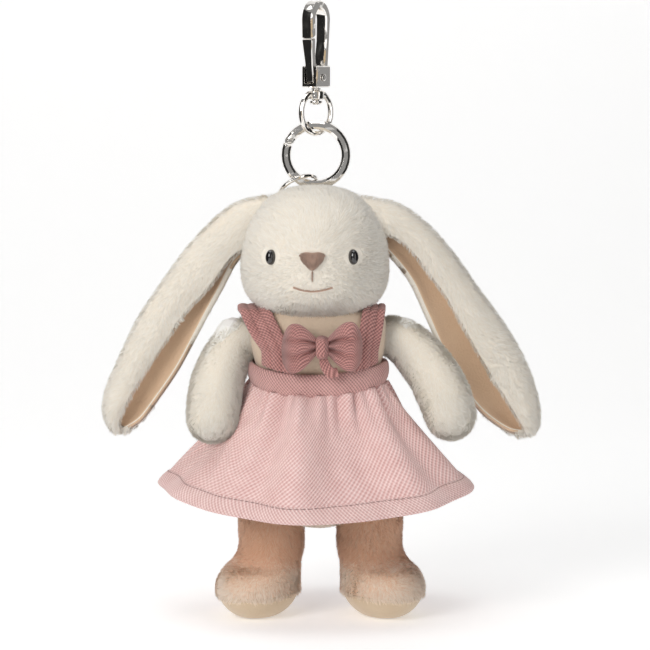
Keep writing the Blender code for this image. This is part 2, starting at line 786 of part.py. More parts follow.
def torso_rings(inset, count):
    rings = []
    last = len(TORSO_STATIONS) - 1
    for i, (z, half_x, half_y) in enumerate(TORSO_STATIONS):
        drop = inset if i == 0 else (-inset if i == last else 0)
        rings.append(level_ellipse(0, TORSO_Y, z - drop, half_x - inset, half_y - inset,
                                   count, power=TORSO_POWER))
    return rings


def torso_half_sizes(z):
    """Half width and half depth of the torso at a height."""
    for (z_a, x_a, y_a), (z_b, x_b, y_b) in zip(TORSO_STATIONS, TORSO_STATIONS[1:]):
        if z_b <= z <= z_a:
            t = (z_a - z) / ((z_a - z_b))
            return (x_a + (x_b - x_a) * t), (y_a + (y_b - y_a) * t)
    return 0.0, 0.0


def inside_torso(point):
    half_x, half_y = torso_half_sizes(point.z)
    if half_x == 0:
        return False
    return abs(point.x / half_x) ** TORSO_POWER + abs((point.y - TORSO_Y) / half_y) ** TORSO_POWER < 1


def carve_torso(item, extra):
    """Cut the seats of the head, the arms and the legs into a torso body."""
    reach = 25.8 + extra
    dish = []
    for i in range(1, 12):
        angle = pi * i / 12
        height = (HEAD_UP if angle < pi / 2 else HEAD_DOWN) + 0.5 + extra
        size = reach * sin(angle) ** (2 / HEAD_POWER)
        z = HEAD_CENTRE.z + height * abs(cos(angle)) ** (2 / HEAD_POWER) * (1 if angle < pi / 2 else -1)
        dish.append(level_ellipse(0, HEAD_CENTRE.y, z, size, size, 24))
    cut(item, solid("tool", "chrome", dish))
    for side in (-1, 1):
        seat = Vector((side * SHOULDER.x, SHOULDER.y, SHOULDER.z))
        cut(item, ball(seat, ARM_BALL + 0.9 + extra, 16))
    for side, hip in ((-1, HIP_LEFT), (1, HIP_RIGHT)):
        seat = LEG_RADIUS + 0.5 + extra
        cut(item, ball(hip, seat, 18))
        outer_side = Vector((side * 12, 0, 0))
        for swing in LEG_SWINGS:
            down = Vector((0, -sin(swing), -cos(swing))) * 40
            cut(item, cylinder(hip, hip + down, seat, 18))
            cut(item, cylinder(hip + outer_side, hip + outer_side + down, seat, 18))


def make_torso():
    cover = solid("torso_cover", "cream_plush", torso_rings(0, 24))
    cut(cover, solid("tool", "chrome", torso_rings(COVER, 24)))
    carve_torso(cover, 0)
    filling = solid("torso_filling", "stuffing", torso_rings(COVER + 0.6, 16))
    carve_torso(filling, 0.3)


# ---------------------------------------------------------------- limbs

def limb_rings(stations, inset, count, turn=0.0, power=2.0):
    return [level_ellipse(x, y, z, half_x - inset, half_y - inset, count, turn, power)
            for x, y, z, half_x, half_y in stations]


def path_rings(path, radii, inset, count):
    """Rings square to a bent path, with a round end after the last point and a round start before the first."""
    rings = []
    first_along = (path[1] - path[0]).normalized()
    last_along = (path[-1] - path[-2]).normalized()
    stations = []
    for angle in (60, 30):
        stations.append((path[0] - first_along * radii[0] * sin(radians(angle)), first_along,
                         radii[0] * cos(radians(angle)), -sin(radians(angle)), cos(radians(angle))))
    for i, point in enumerate(path):
        along = (path[min(i + 1, len(path) - 1)] - path[max(i - 1, 0)]).normalized()
        stations.append((point, along, radii[i], 0, 1))
    for angle in (28, 54, 76):
        stations.append((path[-1] + last_along * radii[-1] * sin(radians(angle)), last_along,
                         radii[-1] * cos(radians(angle)), sin(radians(angle)), cos(radians(angle))))
    for point, along, radius, ahead, out in stations:
        side = along.cross(Vector((0, 1, 0))).normalized()
        front = side.cross(along).normalized()
        reach = radius - inset * out
        rings.append(ellipse(point - along * inset * ahead, side * reach, front * reach, count))
    return rings


def arm_paths():
    left = [(-31, -3, -116), (-35.8, -8.5, -126), (-37.4, -14, -136), (-37.8, -17.5, -144)]
    right = [(31, -3, -116), (37.4, -8.5, -126), (43.4, -14, -136), (46.8, -17, -143.5)]
    return {"left": [Vector(point) for point in left], "right": [Vector(point) for point in right]}


def make_arms():
    radii = [ARM_BALL - 0.2, 8.1, 8.5, 8.4]
    for name, path in arm_paths().items():
        outer = path_rings(path, radii, 0, 14)
        inner = path_rings(path, radii, COVER, 14)
        set_origin(cup("arm_" + name + "_cover", "cream_plush", outer, inner), path[0])
        core = path_rings(path, radii, COVER + 0.6, 10)
        set_origin(solid("arm_" + name + "_filling", "stuffing", core), path[0])


def make_legs():
    """Each leg is a plush tube from a round hip down to the foot, closed by a cupped sole."""
    for side, name, hip in ((-1, "left", HIP_LEFT), (1, "right", HIP_RIGHT)):
        turn = -side * (pi / 2 - FOOT_TURN)
        foot_x = hip.x + side * 4.6
        foot_y = hip.y - 4.5
        stations = []
        for angle in (60, 30, 0):
            stations.append((hip.x, hip.y, hip.z + LEG_RADIUS * sin(radians(angle)),
                             LEG_RADIUS * cos(radians(angle)), LEG_RADIUS * cos(radians(angle))))
        stations += [
            (hip.x, hip.y, -186, 10.9, 10.9),
            (hip.x, hip.y, -195, 10.8, 10.8),
            (hip.x + side * 2.4, hip.y - 2.2, -199.5, 14.0, 12.2),
            (foot_x, foot_y, -205, 16.8, 13.0),
            (foot_x, foot_y, -208.7, 17.0, 13.2),
        ]
        outer = limb_rings(stations, 0, 16, turn)
        inner = limb_rings(stations, COVER, 16, turn)
        set_origin(sleeve("leg_" + name + "_cover", "cream_plush", outer, inner), hip)
        core = [(x, y, z - (0.6 if i == 0 else 0), half_x, half_y)
                for i, (x, y, z, half_x, half_y) in enumerate(stations)]
        core.append((foot_x, foot_y, -212, 14.6, 11.2))
        core.append((foot_x, foot_y, -215.2, 9.5, 7.4))
        set_origin(solid("leg_" + name + "_filling", "stuffing", limb_rings(core, COVER + 0.6, 12, turn)),
                   hip)
        bowl = [(foot_x, foot_y, -209.05, 16.9, 13.1),
                (foot_x, foot_y, -212.5, 15.0, 11.7),
                (foot_x, foot_y, -215.6, 12.0, 9.4)]
        outer = limb_rings(bowl + [(foot_x, foot_y, FLOOR, 8.6, 6.8)], 0, 16, turn)
        inner = limb_rings(bowl[:2] + [(foot_x, foot_y, FLOOR + 1.2, 9.6, 7.6)],
                           1.2, 16, turn)
        set_origin(cup("sole_" + name, "suede", outer, inner, 30), hip)


# ---------------------------------------------------------------- dress

def waist_height(angle):
    """Middle height of the waistband, which dips at the front; angle 0 is +X and -90 degrees the front."""
    front = max(0.0, -sin(angle))
    return -129.4 - 3.0 * front ** 2


def torso_outline(angle, z, proud):
    """A point at a distance outside the torso's section at a height."""
    half_x, half_y = torso_half_sizes(z)
    c, s = cos(angle), sin(angle)
    size = (abs(c) ** TORSO_POWER + abs(s) ** TORSO_POWER) ** (-1 / TORSO_POWER)
    return Vector(((half_x + proud) * c * size, TORSO_Y + (half_y + proud) * s * size, z))


def make_waistband():
    count = 28
    rings = []
    for i in range(count):
        angle = 2 * pi * i / count
        z = waist_height(angle)
        high, low = z + WAIST_HALF_HEIGHT, z - WAIST_HALF_HEIGHT
        inner, outer, crown = 0.6, 1.9, 2.5
        rings.append([torso_outline(angle, high, inner), torso_outline(angle, high, outer),
                      torso_outline(angle, z, crown), torso_outline(angle, low, outer),
                      torso_outline(angle, low, inner)])
    return hoop("waistband", "rose_twill", rings)


def skirt_point(angle, down, proud):
    """A point of the skirt: down runs from 0 at the waist to 1 at the hem."""
    top = waist_height(angle) - WAIST_HALF_HEIGHT - GAP
    front = max(0.0, -sin(angle))
    back = max(0.0, sin(angle))
    bottom = -171.0 - 8.0 * front ** 1.6 - 6.0 * back ** 1.6
    waist = torso_outline(angle, top, 0.8)
    flare = 0.4 * down + 0.6 * down ** 1.7
    fold = 1.3 * down * cos(7 * angle + 0.6)
    hem_x, hem_y = 54.0 + fold, 38.0 + fold
    hem = Vector((hem_x * cos(angle), TORSO_Y + hem_y * sin(angle), bottom))
    place = waist.lerp(hem, flare)
    place.z = top + (bottom - top) * down
    outward = Vector((cos(angle), sin(angle), 0))
    return clear_of_arms(place + outward * proud, ARM_ROOM - proud)


def clear_of_arms(point, room):
    """Push a point of the skirt out of the room that an arm takes beside it."""
    for path in arm_paths().values():
        for start, end in zip(path[1:], path[2:]):
            along = end - start
            part = max(0.0, min(1.0, (point - start).dot(along) / along.length_squared))
            nearest = start + along * part
            away = point - nearest
            if away.length < room:
                inward = Vector((-nearest.x, TORSO_Y - nearest.y, 0)).normalized()
                depth = away.dot(inward)
                across = away - inward * depth
                point = nearest + across + inward * sqrt(max(0.0, room ** 2 - across.length_squared))
    return point


def make_skirt():
    count = 36
    levels = 5
    thickness = 1.5
    hem_start = 0.89
    outer, inner = [], []
    for level in range(levels + 1):
        down = hem_start * level / levels
        angles = [2 * pi * i / count for i in range(count)]
        outer.append([skirt_point(angle, down, thickness) for angle in angles])
        inner.append([skirt_point(angle, down, 0) for angle in angles])
    sleeve("skirt", "pink_twill", outer, inner, 60)
    rings = []
    for i in range(count):
        angle = 2 * pi * i / count
        top, middle, bottom = hem_start + 0.012, hem_start + 0.06, 1.0
        rings.append([skirt_point(angle, top, -0.2), skirt_point(angle, top, thickness),
                      skirt_point(angle, middle, thickness + 0.7),
                      skirt_point(angle, bottom, thickness), skirt_point(angle, bottom, -0.2)])
    hoop("skirt_hem", "pink_twill", rings, 60)


def torso_reach(start, direction):
    """Distance from a point inside the torso to its face along a direction."""
    near, far = 0.0, 40
    for _ in range(24):
        middle = (near + far) / 2
        if inside_torso(start + direction * middle):
            near = middle
        else:
            far = middle
    return near


def make_strap(side, name):
    """A flat band that hugs the torso from the waistband, over the shoulder and down the back."""
    steps = 16
    centre = Vector((0, TORSO_Y, -121))
    half_width, proud, thickness = 4.4, 0.8, 1.4
    first, last = radians(-18), radians(192)
    inner_edge = [(-1 + i / 2, 0) for i in range(5)]
    outer_edge = [(1 - i / 2, 1) for i in range(5)]
    rings = []
    for i in range(steps + 1):
        angle = first + (last - first) * i / steps
        direction = Vector((0, -cos(angle), sin(angle)))
        high = max(0.0, sin(angle))
        middle_x = side * (14.6 + 7.4 * high ** 1.3)
        section = []
        for edge, lift in inner_edge + outer_edge:
            start = Vector((middle_x + edge * half_width * (1 - 0.22 * high), centre.y, centre.z))
            reach = torso_reach(start, direction)
            section.append(start + direction * (reach + proud + lift * thickness))
        rings.append(section)
    strap = solid("strap_" + name, "rose_twill", rings, 50)
    carve_torso(strap, 0)


def make_bow():
    """Two pinched loops, the knot over their middle and one short tail."""
    bow_y = -28.4
    bow_z = -118.2
    knot_x = 1.4
    stations = [(2.6, 2.2, 1.6), (4.5, 5.0, 2.6), (8.0, 8.0, 3.2), (11.5, 9.0, 3.0), (13.6, 8.2, 1.8)]
    for side, name in ((-1, "left"), (1, "right")):
        rings = []
        for reach, half_z, half_y in stations:
            centre = Vector((knot_x + side * (reach), bow_y + 0.35 * (half_y - 1.6), bow_z))
            rings.append(ellipse(centre, Vector((0, half_y, 0)), Vector((0, 0, half_z)), 14))
        solid("bow_loop_" + name, "rose_twill", rings, 50)
    knot = []
    for height, half_x, half_y in ((3.6, 1.5, 1.6), (2.2, 2.2, 2.6), (0, 2.25, 2.9), (-2.2, 2.2, 2.6),
                                   (-3.6, 1.5, 1.6)):
        knot.append(level_ellipse(knot_x, bow_y - 0.4, bow_z + height, half_x, half_y, 12))
    solid("bow_knot", "rose_twill", knot, 50)


def make_bow_tail():
    """The end of the knot's strip, which hangs below the knot and turns up."""
    path = [(1.6, -29.2, -122.8), (1.8, -29.4, -124.6), (3.4, -29.7, -126.6), (5.8, -29.6, -127.2),
            (7.6, -29.2, -126.4)]
    widths = [1.2, 1.7, 2.0, 1.8, 0.9]
    rings = []
    for (x, y, z), width in zip(path, widths):
        centre = Vector((x, y, z))
        rings.append(ellipse(centre, Vector((width * 0.55, 0, width * 0.85)),
                             Vector((0, 1.0, 0)), 8))
    return solid("bow_tail", "rose_twill", rings, 50)


def make_rabbit():
    """Everything that hangs from the jump ring, built about x = 0 and then set beside the axis."""
    already = set(bpy.data.objects)
    make_head()
    make_ears()
    make_torso()
    make_arms()
    make_legs()
    make_waistband()
    make_skirt()
    for side, name in ((-1, "left"), (1, "right")):
        make_strap(side, name)
    make_bow()
    make_bow_tail()
    for item in set(bpy.data.objects) - already:
        item.location.x += PLUSH_X


def scale_to_metres():
    for item in bpy.data.objects:
        item.data.transform(Matrix.Scale(TO_METRES, 4))
        item.location *= TO_METRES


def main():
    clear_scene()
    make_hook()
    make_rivet()
    make_swivel_eye()
    make_spring_ring()
    make_jump_ring()
    make_hanging_loop()
    make_rabbit()
    scale_to_metres()


main()
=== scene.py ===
"""Looks of the plush rabbit keychain: fur, dress, stitches, polished hardware, camera and studio.

Lengths are in millimetres until a mesh is made. Heights called "seen" are heights above the floor as the
camera sees them, level with the front of the rabbit.
"""
from math import cos, pi, radians, sin, sqrt, tan

import bmesh
import bpy
import numpy as np
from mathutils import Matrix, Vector, kdtree


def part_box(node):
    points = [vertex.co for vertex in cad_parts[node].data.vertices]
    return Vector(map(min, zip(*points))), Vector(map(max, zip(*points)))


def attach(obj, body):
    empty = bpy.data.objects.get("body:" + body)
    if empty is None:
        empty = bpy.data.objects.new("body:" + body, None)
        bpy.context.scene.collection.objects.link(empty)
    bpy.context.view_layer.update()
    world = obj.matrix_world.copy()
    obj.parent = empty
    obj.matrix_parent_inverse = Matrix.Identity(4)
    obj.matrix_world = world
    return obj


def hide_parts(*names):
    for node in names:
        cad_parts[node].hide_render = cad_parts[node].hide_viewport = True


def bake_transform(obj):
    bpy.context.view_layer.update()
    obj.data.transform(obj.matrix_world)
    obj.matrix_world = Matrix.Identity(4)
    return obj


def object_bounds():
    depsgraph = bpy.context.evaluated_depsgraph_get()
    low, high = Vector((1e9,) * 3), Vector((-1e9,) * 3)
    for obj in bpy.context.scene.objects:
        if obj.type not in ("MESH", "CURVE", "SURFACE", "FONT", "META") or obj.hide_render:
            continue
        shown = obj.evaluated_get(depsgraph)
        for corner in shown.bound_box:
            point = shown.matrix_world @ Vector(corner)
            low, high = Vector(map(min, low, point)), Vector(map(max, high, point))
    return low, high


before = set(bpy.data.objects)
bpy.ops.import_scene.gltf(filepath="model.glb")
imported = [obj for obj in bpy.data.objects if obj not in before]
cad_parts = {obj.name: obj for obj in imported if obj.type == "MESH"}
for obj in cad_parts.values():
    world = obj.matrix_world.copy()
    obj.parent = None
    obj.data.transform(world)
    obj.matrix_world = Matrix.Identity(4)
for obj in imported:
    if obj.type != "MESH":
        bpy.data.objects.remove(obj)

START_BOUNDS = [list(corner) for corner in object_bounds()]

MM = 0.001
CAMERA_TILT = radians(6)
CAMERA_DISTANCE = 900
PICTURE_WIDTH = 229           # width of the picture at the front of the rabbit
FRONT_Y = -22                 # where a seen height equals the real one

# ---------------------------------------------------------------- places read from the frame


def box_mm(node):
    low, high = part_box(node)
    return np.array(low) / MM, np.array(high) / MM


def middle_mm(node):
    low, high = box_mm(node)
    return (low + high) / 2


HEAD_LOW, HEAD_HIGH = box_mm("head_cover")
PLUSH_X = (HEAD_LOW[0] + HEAD_HIGH[0]) / 2
FLOOR = START_BOUNDS[0][2] / MM


def seen(x, height, y):
    """The point at depth y that the camera sees at x and at a height above the floor."""
    return np.array((x, y, FLOOR + height - tan(CAMERA_TILT) * (y - FRONT_Y)))


# ---------------------------------------------------------------- numbers and curves

def unit(vectors):
    length = np.linalg.norm(vectors, axis=-1, keepdims=True)
    return vectors / np.maximum(length, 1e-9)


def spline(points, places):
    """Catmull-Rom curve through points, at places from 0 to 1."""
    points = np.asarray(points, float)
    spans = len(points) - 1
    scaled = np.clip(np.asarray(places, float) * spans, 0, spans - 1e-9)
    i = scaled.astype(int)
    t = (scaled - i)[:, None]
    a, b, c, d = (points[np.clip(i + step, 0, spans)] for step in (-1, 0, 1, 2))
    return 0.5 * (2 * b + (c - a) * t + (2 * a - 5 * b + 4 * c - d) * t ** 2
                  + (3 * b - a - 3 * c + d) * t ** 3)


def swirl(points, size, seed):
    """A smooth wandering vector field with features of a size."""
    rng = np.random.default_rng(seed)
    total = np.zeros_like(points)
    for _ in range(4):
        wave = rng.normal(size=(3, 3)) * 2.2 / size
        phase = rng.uniform(0, 2 * pi, 3)
        total += np.sin(points @ wave + phase)
    return total / 2


def full_circle(count):
    """Evenly spaced angles once round."""
    return np.arange(count) * 2 * pi / count


def smooth_step(value, low, high):
    t = np.clip((value - low) / (high - low), 0, 1)
    return t * t * (3 - 2 * t)


# ---------------------------------------------------------------- materials

def new_material(name, colour=(0.8, 0.8, 0.8), roughness=0.5, metallic=0.0, sheen=0.0):
    material = bpy.data.materials.new(name)
    material.use_nodes = True
    shader = material.node_tree.nodes["Principled BSDF"]
    shader.inputs["Base Color"].default_value = (*colour, 1)
    shader.inputs["Roughness"].default_value = roughness
    shader.inputs["Metallic"].default_value = metallic
    shader.inputs["Sheen Weight"].default_value = sheen
    return material, material.node_tree, shader


def value_of(tree, operation, a, b=None):
    """A Math node; a and b are numbers or sockets."""
    node = tree.nodes.new("ShaderNodeMath")
    node.operation = operation
    for socket, value in zip(node.inputs, (a, b)):
        if value is None:
            continue
        if isinstance(value, (int, float)):
            socket.default_value = value
        else:
            tree.links.new(value, socket)
    return node.outputs[0]


def sum_of(tree, first, first_share, second, second_share):
    return value_of(tree, "ADD", value_of(tree, "MULTIPLY", first, first_share),
                    value_of(tree, "MULTIPLY", second, second_share))


def noise_of(tree, coordinates, scale, detail=3.0):
    node = tree.nodes.new("ShaderNodeTexNoise")
    node.inputs["Scale"].default_value = scale
    node.inputs["Detail"].default_value = detail
    tree.links.new(coordinates, node.inputs["Vector"])
    return node.outputs["Fac"]


def object_coordinates(tree):
    return tree.nodes.new("ShaderNodeTexCoord").outputs["Object"]


def mix_colours(tree, factor, first, second):
    node = tree.nodes.new("ShaderNodeMix")
    node.data_type = "RGBA"
    tree.links.new(factor, node.inputs["Factor"])
    node.inputs["A"].default_value = (*first, 1)
    node.inputs["B"].default_value = (*second, 1)
    return node.outputs["Result"]


def add_bump(tree, shader, height, distance, strength=1.0):
    node = tree.nodes.new("ShaderNodeBump")
    node.inputs["Distance"].default_value = distance * MM
    node.inputs["Strength"].default_value = strength
    tree.links.new(height, node.inputs["Height"])
    tree.links.new(node.outputs["Normal"], shader.inputs["Normal"])


def twill_material(name, light, dark, pitch=1.05, lean=1.0):
    """Twill: slanting ribs made of short floats, with UV coordinates in millimetres."""
    material, tree, shader = new_material(name, light, 0.9, sheen=0.25)
    uv = tree.nodes.new("ShaderNodeTexCoord").outputs["UV"]
    parts = tree.nodes.new("ShaderNodeSeparateXYZ")
    tree.links.new(uv, parts.inputs[0])
    across = value_of(tree, "MULTIPLY", parts.outputs["X"], 2 * pi / pitch)
    down = value_of(tree, "MULTIPLY", parts.outputs["Y"], 2 * pi * 0.8 * lean / pitch)
    rib = value_of(tree, "SINE", value_of(tree, "ADD", across, down))
    floats = value_of(tree, "SINE", value_of(tree, "SUBTRACT", value_of(tree, "MULTIPLY", across, 0.9), down))
    weave = value_of(tree, "ADD", sum_of(tree, rib, 0.34, floats, 0.16), 0.5)
    fibre = noise_of(tree, object_coordinates(tree), 2600, 2)
    mottle = noise_of(tree, object_coordinates(tree), 160, 2)
    height = value_of(tree, "ADD", weave, value_of(tree, "MULTIPLY", fibre, 0.35))
    shade = sum_of(tree, weave, 0.75, mottle, 0.35)
    tree.links.new(mix_colours(tree, shade, dark, light), shader.inputs["Base Color"])
    add_bump(tree, shader, height, 0.32, 0.9)
    return material


def felt_material(name, light, dark, grain, depth):
    """A napped cloth: fine grain over slow mottling."""
    material, tree, shader = new_material(name, light, 0.95, sheen=0.4)
    place = object_coordinates(tree)
    fine = noise_of(tree, place, grain, 4)
    slow = noise_of(tree, place, grain / 12, 2)
    shade = sum_of(tree, fine, 0.5, slow, 0.5)
    tree.links.new(mix_colours(tree, shade, dark, light), shader.inputs["Base Color"])
    add_bump(tree, shader, fine, depth)
    return material


def thread_material(name, light, dark, pitch=0.42):
    """Satin stitches side by side along the U coordinate, in millimetres."""
    material, tree, shader = new_material(name, light, 0.55, sheen=0.3)
    uv = tree.nodes.new("ShaderNodeTexCoord").outputs["UV"]
    parts = tree.nodes.new("ShaderNodeSeparateXYZ")
    tree.links.new(uv, parts.inputs[0])
    wander = value_of(tree, "MULTIPLY", noise_of(tree, object_coordinates(tree), 500, 2), 0.5)
    place = value_of(tree, "MULTIPLY", value_of(tree, "ADD", parts.outputs["X"], wander), 2 * pi / pitch)
    stitch = value_of(tree, "ABSOLUTE", value_of(tree, "SINE", place))
    tree.links.new(mix_colours(tree, stitch, dark, light), shader.inputs["Base Color"])
    add_bump(tree, shader, stitch, 0.3)
    return material


def chrome_material(name, colour, roughness):
    material, tree, shader = new_material(name, colour, roughness, metallic=1.0)
    wear = noise_of(tree, object_coordinates(tree), 300, 4)
    spread = value_of(tree, "ADD", value_of(tree, "MULTIPLY", wear, 0.08), roughness - 0.03)
    tree.links.new(spread, shader.inputs["Roughness"])
    add_bump(tree, shader, noise_of(tree, object_coordinates(tree), 160, 1), 0.8, 0.9)
    return material


def eye_material():
    material, tree, shader = new_material("eye_gloss", (0.008, 0.007, 0.008), 0.06)
    shader.inputs["Coat Weight"].default_value = 1.0
    shader.inputs["Coat Roughness"].default_value = 0.03
    add_bump(tree, shader, noise_of(tree, object_coordinates(tree), 250, 2), 0.02, 0.3)
    return material


def fur_materials(name, colours):
    made = []
    for i, colour in enumerate(colours):
        material, _, shader = new_material("%s_pile_%d" % (name, i), colour, 0.85, sheen=0.3)
        shader.inputs["Specular IOR Level"].default_value = 0.25
        made.append(material)
    return made


CREAM = fur_materials("cream", [(0.89, 0.85, 0.77), (0.86, 0.79, 0.69), (0.91, 0.88, 0.82)])
WARM = fur_materials("warm", [(0.93, 0.78, 0.64), (0.90, 0.72, 0.57), (0.95, 0.83, 0.71)])
# Peach pile: the plush's warm tone darkened as painted shade of the skirt, with its warm reflected light, on
# the legs.
SHADED_PEACH = fur_materials("peach_painted_shade", [(0.80, 0.48, 0.31), (0.75, 0.42, 0.26), (0.85, 0.56, 0.39)])
SKIN = felt_material("plush_skin", (0.88, 0.83, 0.74), (0.83, 0.76, 0.66), 900, 0.2)
WARM_SKIN = felt_material("warm_skin", (0.86, 0.63, 0.47), (0.80, 0.55, 0.39), 900, 0.2)
# Torso plush darkened to brown: painted shade under the head and between the straps, on a chest that is
# cream.
SHADED_CHEST_SKIN = felt_material("chest_painted_shade_skin", (0.74, 0.60, 0.46), (0.62, 0.48, 0.36), 900, 0.4)
LINING = felt_material("ear_velour", (0.78, 0.57, 0.39), (0.66, 0.45, 0.29), 1400, 0.25)
SUEDE = felt_material("sole_suede", (0.70, 0.56, 0.40), (0.55, 0.42, 0.28), 1500, 0.15)
TAPE = felt_material("loop_tape", (0.82, 0.76, 0.66), (0.62, 0.55, 0.45), 1200, 0.2)
PINK = twill_material("pink_twill_cloth", (1.0, 0.77, 0.74), (0.60, 0.29, 0.27), 1.5)
PINK_HEM = twill_material("pink_twill_hem", (1.0, 0.78, 0.75), (0.58, 0.29, 0.27), 1.35, -1.0)
ROSE = twill_material("rose_twill_cloth", (0.70, 0.34, 0.31), (0.10, 0.03, 0.027), 1.25)
ROSE_CROSS = twill_material("rose_twill_cross", (0.70, 0.34, 0.31), (0.10, 0.03, 0.027), 1.25, -1.0)
WAIST = twill_material("waist_twill_cloth", (0.84, 0.50, 0.47), (0.26, 0.11, 0.10), 1.2)
THREAD = thread_material("brown_satin_stitch", (0.86, 0.54, 0.39), (0.52, 0.28, 0.19))
SEWING = thread_material("rose_sewing_thread", (0.30, 0.12, 0.11), (0.18, 0.06, 0.06), 0.3)
HEM_SEWING = thread_material("pink_sewing_thread", (0.80, 0.50, 0.47), (0.55, 0.27, 0.25), 0.3)
CHROME = chrome_material("polished_chrome", (0.90, 0.87, 0.83), 0.06)
STEEL = chrome_material("spring_wire", (0.6, 0.6, 0.6), 0.25)
EYE = eye_material()


# ---------------------------------------------------------------- mesh building

def add_mesh(name, points, faces, materials, uv=None, material_index=None, normals=None):
    """A named object from points in mm. Faces are rows of vertex numbers, -1 where a row is short."""
    faces = np.asarray(faces)
    mesh = bpy.data.meshes.new(name)
    sizes = (faces >= 0).sum(axis=1)
    loops = faces[faces >= 0].astype(np.int32)
    mesh.vertices.add(len(points))
    mesh.vertices.foreach_set("co", (np.asarray(points, np.float64) * MM).astype(np.float32).ravel())
    mesh.loops.add(len(loops))
    mesh.loops.foreach_set("vertex_index", loops)
    mesh.polygons.add(len(faces))
    starts = np.concatenate(([0], np.cumsum(sizes)[:-1])).astype(np.int32)
    mesh.polygons.foreach_set("loop_start", starts)
    mesh.polygons.foreach_set("loop_total", sizes.astype(np.int32))
    mesh.polygons.foreach_set("use_smooth", np.ones(len(faces), bool))
    if material_index is not None:
        mesh.polygons.foreach_set("material_index", material_index.astype(np.int32))
    mesh.update(calc_edges=True)
    if uv is not None:
        layer = mesh.uv_layers.new(name="cloth_mm")
        layer.data.foreach_set("uv", np.asarray(uv, np.float32)[loops].ravel())
    for material in materials:
        mesh.materials.append(material)
    if normals is not None:
        mesh.normals_split_custom_set_from_vertices(normals.astype(np.float32))
    item = bpy.data.objects.new(name, mesh)
    bpy.context.scene.collection.objects.link(item)
    return item


def grid_faces(rows, columns, wrap_rows=False, wrap_columns=True):
    """Quads over a grid of vertices numbered row by row."""
    i = np.arange(rows if wrap_rows else rows - 1)[:, None]
    j = np.arange(columns if wrap_columns else columns - 1)[None, :]
    i_next, j_next = (i + 1) % rows, (j + 1) % columns
    corners = (i * columns + j, i * columns + j_next, i_next * columns + j_next, i_next * columns + j)
    return np.stack([np.broadcast_to(corner, np.broadcast(i, j).shape).ravel() for corner in corners], 1)


def capped(points, faces, columns):
    """Adds a middle vertex and a fan at the first and the last row of a lofted grid."""
    points, faces = list(points), [faces]
    total = len(points)
    for ring, forward in ((np.arange(columns), False), (np.arange(total - columns, total), True)):
        centre = len(points)
        points.append(np.mean([points[k] for k in ring], axis=0))
        following = np.roll(ring, -1)
        order = (following, ring) if not forward else (ring, following)
        fan = np.stack([order[0], order[1], np.full(columns, centre), np.full(columns, -1)], 1)
        faces.append(fan)
    return np.array(points), np.vstack(faces)


def loft(name, rings, material):
    """A closed body through rings with the same number of points, numbered anticlockwise from outside."""
    rings = np.asarray(rings, float)
    rows, columns, _ = rings.shape
    around = np.linalg.norm(np.diff(rings, axis=1, append=rings[:, :1]), axis=2)
    along = np.linalg.norm(np.diff(rings, axis=0, prepend=rings[:1]), axis=2)
    uv = np.stack([np.cumsum(around, 1) - around, np.cumsum(along, 0)], 2).reshape(-1, 2)
    points, faces = capped(rings.reshape(-1, 3), grid_faces(rows, columns), columns)
    uv = np.vstack([uv, np.zeros((len(points) - len(uv), 2))])
    item = add_mesh(name, points, faces, [material], uv)
    face_out(item)
    return item


def face_out(item):
    """Turn a closed mesh the right way out."""
    builder = bmesh.new()
    builder.from_mesh(item.data)
    bmesh.ops.recalc_face_normals(builder, faces=builder.faces)
    if builder.calc_volume(signed=True) < 0:
        bmesh.ops.reverse_faces(builder, faces=builder.faces)
    builder.to_mesh(item.data)
    builder.free()


def tube_rings(path, section, size, up):
    """A section (rows of side, up) carried along a path and square to it, with a size for each point."""
    tangent = unit(np.gradient(path, axis=0))
    side = unit(np.cross(tangent, np.asarray(up, float)))
    lift = np.cross(side, tangent)
    return (path[:, None] + side[:, None] * section[None, :, :1] * size[:, None, None]
            + lift[:, None] * section[None, :, 1:] * size[:, None, None])


def sweep(name, path, section, material, size=None, up=(0, 1, 0)):
    """A closed body swept along a path."""
    path = np.asarray(path, float)
    size = np.ones(len(path)) if size is None else size
    return loft(name, tube_rings(path, section, size, up), material)


def round_section(radius, count=16, flat=1.0):
    angle = full_circle(count)
    return np.stack([radius * np.cos(angle), radius * flat * np.sin(angle)], 1)


def settle(item, body, slot, *nodes):
    """The usual last words for a piece: its body and the CAD nodes it stands for. The slot, its finish, is
    not used.
    """
    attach(item, body)
    if nodes:
        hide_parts(*nodes)


# ---------------------------------------------------------------- fur

def surface_arrays(item):
    mesh = item.data
    mesh.calc_loop_triangles()
    points = np.empty(len(mesh.vertices) * 3)
    mesh.vertices.foreach_get("co", points)
    normals = np.empty(len(mesh.vertices) * 3)
    mesh.vertices.foreach_get("normal", normals)
    triangles = np.empty(len(mesh.loop_triangles) * 3, np.int32)
    mesh.loop_triangles.foreach_get("vertices", triangles)
    return points.reshape(-1, 3) / MM, normals.reshape(-1, 3), triangles.reshape(-1, 3)


def scatter(item, density, rng, keep):
    """Random places on a mesh with their normals, so many to the square millimetre."""
    points, normals, triangles = surface_arrays(item)
    corners = points[triangles]
    area = np.linalg.norm(np.cross(corners[:, 1] - corners[:, 0], corners[:, 2] - corners[:, 0]), axis=1) / 2
    count = int(area.sum() * density)
    chosen = rng.choice(len(triangles), count, p=area / area.sum())
    weight = rng.dirichlet((1, 1, 1), count)
    place = (corners[chosen] * weight[:, :, None]).sum(1)
    normal = unit((normals[triangles[chosen]] * weight[:, :, None]).sum(1))
    if keep is not None:
        kept = keep(place, normal)
        place, normal = place[kept], normal[kept]
    return place, normal


def nearest_tuft(place, centres):
    tree = kdtree.KDTree(len(centres))
    for i, centre in enumerate(centres):
        tree.insert(centre, i)
    tree.balance()
    return np.array([tree.find(point)[1] for point in place])


STRAND_LIMIT = 97000


